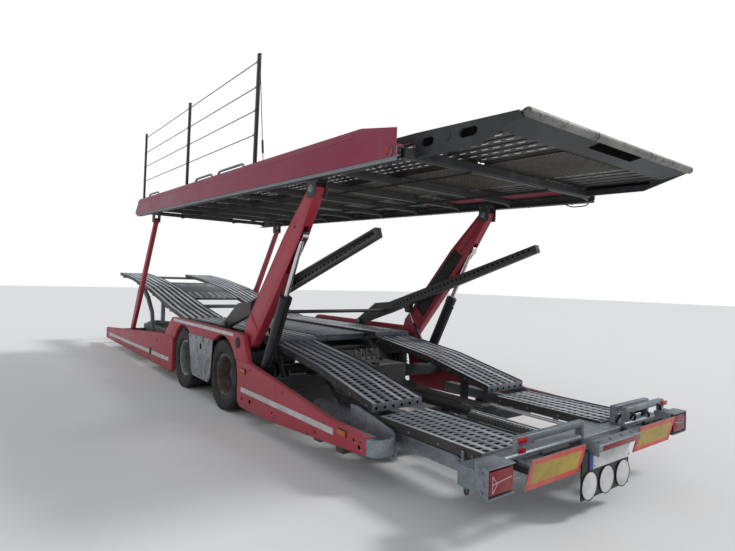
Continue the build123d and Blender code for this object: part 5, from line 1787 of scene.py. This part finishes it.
# %% Tank, valves and drum
mesh = bmesh.new()
cap_table = [
    # x, y, profile
    (-1.42, 0.13, [(0, 0.0), (0, 0.042), (0.020, 0.042), (0.026, 0.036), (0.026, 0.0)]),
    (-1.20, -0.12, [(0, 0.0), (0, 0.022), (0.040, 0.022), (0.046, 0.014), (0.046, 0.0)]),
]
for x, y, profile in cap_table:
    turned(mesh, profile, at(x, y, 0.64), corners=32, closed=False, axis="Z")
piece("tank_caps", mesh, "frame", black_plastic, "dark_paint", smooth=40)
mesh = bmesh.new()
for x in (-1.44, -1.18):
    box(mesh, (x - 0.018, x + 0.018), (-0.2225, 0.2225), (0.428, 0.6425))
for y in (-0.20, 0.20):
    box(mesh, (-0.995, -0.765), (y - 0.016, y + 0.016), (0.4955, 0.5125))
for y in [-0.17 + number * 0.075 for number in range(5)]:
    box(mesh, (-1.107, -1.040), (y - 0.025, y + 0.025), (0.602, 0.665))
    rod(mesh, at(-1.07, y, 0.665), at(-1.055, y, 0.735), 0.005, corners=8)
    rod(mesh, at(-1.055, y, 0.735), at(-1.052, y, 0.750), 0.011, corners=12)
piece("tank_straps", mesh, "frame", weathered_zinc, "galvanised", soften=0.002)
mesh = bmesh.new()
drum_end = [(0.0, 0.0), (0.0, 0.118), (0.012, 0.118), (0.016, 0.108), (0.016, 0.0)]
for side in sides:
    turned(mesh, drum_end, at(-0.88, side * 0.281, 0.61), side, closed=False)
for y in [-0.25 + number * 0.0295 for number in range(18)]:
    strand = [(y - 0.013, 0.109), (y, 0.1145), (y + 0.013, 0.109)]
    turned(mesh, strand, at(-0.88, 0, 0.61), corners=32)
piece("drum_rings", mesh, "frame", dark_paint, "dark_paint", smooth=40)
mesh = bmesh.new()
box(mesh, (-1.3, -1.285), (0.2195, 0.2260), (0.47, 0.60))
piece("tank_gauge", mesh, "frame", clear_lens, "dark_paint", soften=0.002)

# %% Pipes along the rails
pipe_mesh, clip_mesh = bmesh.new(), bmesh.new()
pipe_y = 0.370
clip_spacing = 0.5
rail_path = [(-2.45, 0.30), (-1.30, 0.30), (-0.72, 0.66), (2.22, 0.66), (2.78, 0.32), (6.65, 0.32)]
for (x0, z0), (x1, z1) in zip(rail_path, rail_path[1:]):
    for lift in (0.0, 0.022, 0.044):
        for start, end in mirrored([(x0, pipe_y, z0 + lift), (x1, pipe_y, z1 + lift)]):
            rod(pipe_mesh, start, end, 0.006, corners=8)
    steps = max(1, round((x1 - x0) / clip_spacing))
    for share in [(step + 0.5) / steps for step in range(steps)]:
        x, z = x0 + (x1 - x0) * share, z0 + (z1 - z0) * share
        pair(clip_mesh, rectangle((x - 0.014, x + 0.014), (z - 0.012, z + 0.056)), (0.362, 0.3802))
piece("rail_pipes", pipe_mesh, "frame", galvanised, "galvanised", smooth=40)
piece("pipe_clips", clip_mesh, "frame", black_plastic, "dark_paint", soften=0.002)

# %% Hoses to the cylinders
for number in (0, 1):
    shift = number * 0.028
    hose = [(-1.06 - shift, 0.38, 0.50), (-1.02 - shift, 0.60, 0.47)]
    hose += [(-1.00 - shift, 0.90, 0.46 + shift), (-1.02 - shift, 1.03, 0.50 + shift)]
    name = "ram_hose_{}_" + str(number)
    tube_pair(name, hose, 0.010, "frame", hose_rubber, "black_paint", bend=0.09)
for number, (y, height) in enumerate(((-0.15, 0.72), (0.0, 0.74), (0.16, 0.71))):
    hose = [at(-1.05, y, 0.61), at(-1.02, y + 0.03, height)]
    hose += [at(-0.80, y + 0.05, height), at(-0.66, y + 0.02, 0.655)]
    bent_tube(f"drum_hose_{number}", hose, 0.010, "frame", hose_rubber, "black_paint", bend=0.09)

# %% Air tanks and valve boxes under the front
tank_mesh, band_mesh = bmesh.new(), bmesh.new()
tank_half = [(0.24, 0.098), (0.27, 0.088), (0.296, 0.05), (0.30, 0.0)]
tank_profile = [(-y, r) for y, r in reversed(tank_half)] + tank_half
for x in (3.22, 3.55):
    turned(tank_mesh, tank_profile, at(x, 0, 0.335), corners=36, closed=False)
    for y in (-0.16, 0.16):
        band = rectangle((y - 0.014, y + 0.014), (0.0985, 0.102))
        turned(band_mesh, band, at(x, 0, 0.335), corners=36)
    box(band_mesh, (x - 0.02, x + 0.02), (-0.38, 0.38), (0.436, 0.450))
piece("air_tanks", tank_mesh, "frame", black_paint, "dark_paint", smooth=40)
piece("tank_bands", band_mesh, "frame", galvanised, "galvanised")
mesh = bmesh.new()
box(mesh, (4.20, 4.42), (0.22, 0.36), (0.27, 0.37))
box(mesh, (2.55, 2.72), (-0.30, -0.12), (0.52, 0.62))
for x in (4.23, 4.28, 4.33, 4.38):
    rod(mesh, at(x, 0.22, 0.32), at(x, 0.20, 0.32), 0.010, corners=10)
piece("valve_boxes", mesh, "frame", black_plastic, "dark_paint", soften=0.004)

# %% [markdown]
# ## Drawbar and jack
# The drawbar, the towing eye and the jack are hidden in the photograph and follow the usual build of
# such trailers: a bolted eye flange, and a wound jack with a crank, a gearbox and a bolted foot.

# %% Eye flange and jack
mesh = bmesh.new()
box(mesh, (7.700, 7.722), (-0.085, 0.085), (0.265, 0.395))
for y in (-0.060, 0.060):
    for z in (0.290, 0.370):
        rod(mesh, at(7.722, y, z), at(7.738, y, z), 0.014, corners=6)
eye_ring = [(-0.004, 0.0275), (-0.004, 0.048), (0.0, 0.050), (0.0, 0.0275)]
turned(mesh, eye_ring, at(7.89, 0, 0.355), corners=32, axis="Z")
piece("eye_flange", mesh, "frame", dark_paint, "dark_paint", soften=0.002)
mesh = bmesh.new()
box(mesh, (6.99, 7.09), (-0.05, 0.05), (0.855, 0.875))
box(mesh, (6.995, 7.085), (-0.058, -0.04), (0.765, 0.845))
rod(mesh, at(7.04, -0.156, 0.665), at(7.04, -0.235, 0.665), 0.011, corners=14)
for x in (6.955, 7.125):
    for y in (-0.085, 0.085):
        rod(mesh, at(x, y, 0.0225), at(x, y, 0.032), 0.011, corners=6)
for z in (0.29, 0.37):
    for y in (-0.20, 0.20):
        rod(mesh, at(7.0, y, z), at(7.012, y, z), 0.012, corners=6)
piece("jack_fittings", mesh, "frame", galvanised, "galvanised", soften=0.003)

# %% [markdown]
# ## Brackets, bolts and gussets
# What is left are the small joints of welded steel: bolt heads on the brackets, gussets under the
# deck beams and the bent corner behind each rear sill. They repeat, so most of them come from the
# same rows and stamps as before.

# %% Bolts and lips of the corners behind the sills
mesh = bmesh.new()
pins(mesh, [(-2.72, 0.30), (-2.72, 0.37), (-2.64, 0.335)], (1.249, 1.2535), 0.010, 6)
pins(mesh, [(-2.70, 0.330), (-2.50, 0.330), (-2.30, 0.330)], (0.990, 0.982), 0.012, 6)
pair(mesh, rectangle((-2.76, -2.34), (0.392, 0.397)), (1.155, 1.189))
piece("corner_bolts", mesh, "frame", galvanised, "galvanised", soften=0.001)

# %% Gussets and conduit under the deck
deck_beam_u = (-1.21, -0.30, 0.45, 1.20, 1.95, 2.70, 3.45, 4.20, 5.00, 5.90)
conduit_y = (-0.50, 0.50)
gusset = [(1.1695, 0.105), (1.1695, 0.077), (1.060, 0.105)]
mesh = bmesh.new()
for u in deck_beam_u:
    for side in sides:
        corners = [(side * y, w) for y, w in gusset]
        prism(mesh, corners, (u + 0.021, u + 0.029), lambda y, along, w: on_deck(along, y, w))
piece("deck_gussets", mesh, "upper_deck", grey_paint, "grey_paint", smooth=20)
mesh = bmesh.new()
for y in conduit_y:
    rod(mesh, on_deck(-1.15, y, 0.095), on_deck(5.95, y, 0.095), 0.009, corners=10)
    for u in deck_beam_u:
        box(mesh, (u + 0.01, u + 0.04), (y - 0.014, y + 0.014), (0.085, 0.106), on_deck)
piece("deck_conduits", mesh, "upper_deck", black_plastic, "black_paint", smooth=30)
flat_bolt = stamp_hex("flat_bolt", 0.010, 0.008, "Z")
rail_bolts = mirrored([(-1.0, 1.21, 0.0625), (6.0, 1.21, 0.0625)], place=on_deck)
rows("rail_bolts", rail_bolts, flat_bolt, 0.5, "upper_deck", galvanised, "grey_paint")

# %% Bolts on the platform bars, rails and cover
cover_lines = mirrored([(-0.42, 0.38, 0.865), (1.94, 0.38, 0.865)])
rows("cover_bolts", cover_lines, cap_bolt, 0.24, "frame", galvanised, "track_steel")
platform_edges = mirrored([(x, 1.0066, z - 0.024) for x, z in platform_line])
rows("platform_bolts", platform_edges, small_bolt, 0.30, "front_platform", galvanised, "track_steel")
mesh = bmesh.new()
for side in sides:
    for x in (-2.35, -2.01):
        for y in (0.60, 0.78, 0.98, 1.12):
            rod(mesh, at(x, side * y, 0.270), at(x, side * y, 0.280), 0.012, corners=6)
foot_bolts = [(-0.55, 0.755), (-0.45, 0.755), (-0.55, 0.835), (-0.45, 0.835)]
pins(mesh, foot_bolts, (1.0655, 1.055), 0.010, 6)
piece("frame_bolts", mesh, "frame", galvanised, "dark_paint", soften=0.001)
print("front, brackets and bolts dressed")

# %% [markdown]
# ## Camera, light and floor
# The camera stands where the photographer stood, found from places on the trailer whose size is
# known. A wide lens close to the near corner gives the strong perspective. The light is one soft
# sun and an even pale sky, so that the colours come out as they were written. The sky is white to
# the camera alone, which is what the Light Path node tells apart.

# %% Camera
camera_data = bpy.data.cameras.new("camera")
camera_data.lens = 25.0
camera = bpy.data.objects.new("camera", camera_data)
bpy.context.scene.collection.objects.link(camera)
yaw, pitch, roll = radians(-36.861), radians(0.713), radians(1.623)
ahead = Vector((cos(yaw) * cos(pitch), sin(yaw) * cos(pitch), sin(pitch)))
level = Vector((sin(yaw), -cos(yaw), 0))
above = level.cross(ahead)
right = level * cos(roll) + above * sin(roll)
top = above * cos(roll) - level * sin(roll)
facing_frame = Matrix((right, top, -ahead)).transposed().to_4x4()
camera.matrix_world = Matrix.Translation(at(-5.646, 3.436, 1.504)) @ facing_frame
bpy.context.scene.camera = camera
bpy.context.scene.view_settings.view_transform = "Standard"

# %% Sun and sky
sun_data = bpy.data.lights.new("sun", "SUN")
sun_data.energy = 1.5
sun_data.angle = radians(12)
sun = bpy.data.objects.new("sun", sun_data)
bpy.context.scene.collection.objects.link(sun)
sun.rotation_euler = (radians(38), radians(-32), radians(0))

sky = bpy.data.worlds.new("sky")
sky.use_nodes = True
bpy.context.scene.world = sky
sky_tree = sky.node_tree
even = sky_tree.nodes["Background"]
even.inputs["Color"].default_value = (0.94, 0.97, 1.0, 1.0)
even.inputs["Strength"].default_value = 0.62
white = sky_tree.nodes.new("ShaderNodeBackground")
white.inputs["Color"].default_value = (1.0, 1.0, 1.0, 1.0)
white.inputs["Strength"].default_value = 1.0
light_path = sky_tree.nodes.new("ShaderNodeLightPath")
either = sky_tree.nodes.new("ShaderNodeMixShader")
sky_tree.links.new(light_path.outputs["Is Camera Ray"], either.inputs[0])
sky_tree.links.new(even.outputs[0], either.inputs[1])
sky_tree.links.new(white.outputs[0], either.inputs[2])
sky_tree.links.new(either.outputs[0], sky_tree.nodes["World Output"].inputs["Surface"])

# %% Floor
floor_mesh = bmesh.new()
bmesh.ops.create_grid(floor_mesh, x_segments=8, y_segments=8, size=60.0)
floor = to_object("floor", floor_mesh)
floor_finish = Finish("pale floor")
floor.data.materials.append(
    floor_finish.set(
        Base_Color=floor_finish.mix(
            floor_finish.noise(0.8, detail=3) * 0.2, (0.80, 0.80, 0.80), (0.72, 0.72, 0.72)
        ),
        Roughness=floor_finish.noise(5.0) * 0.1 + 0.85,
    )
)

# %% Finish
for made in stamps:
    bpy.data.objects.remove(made)
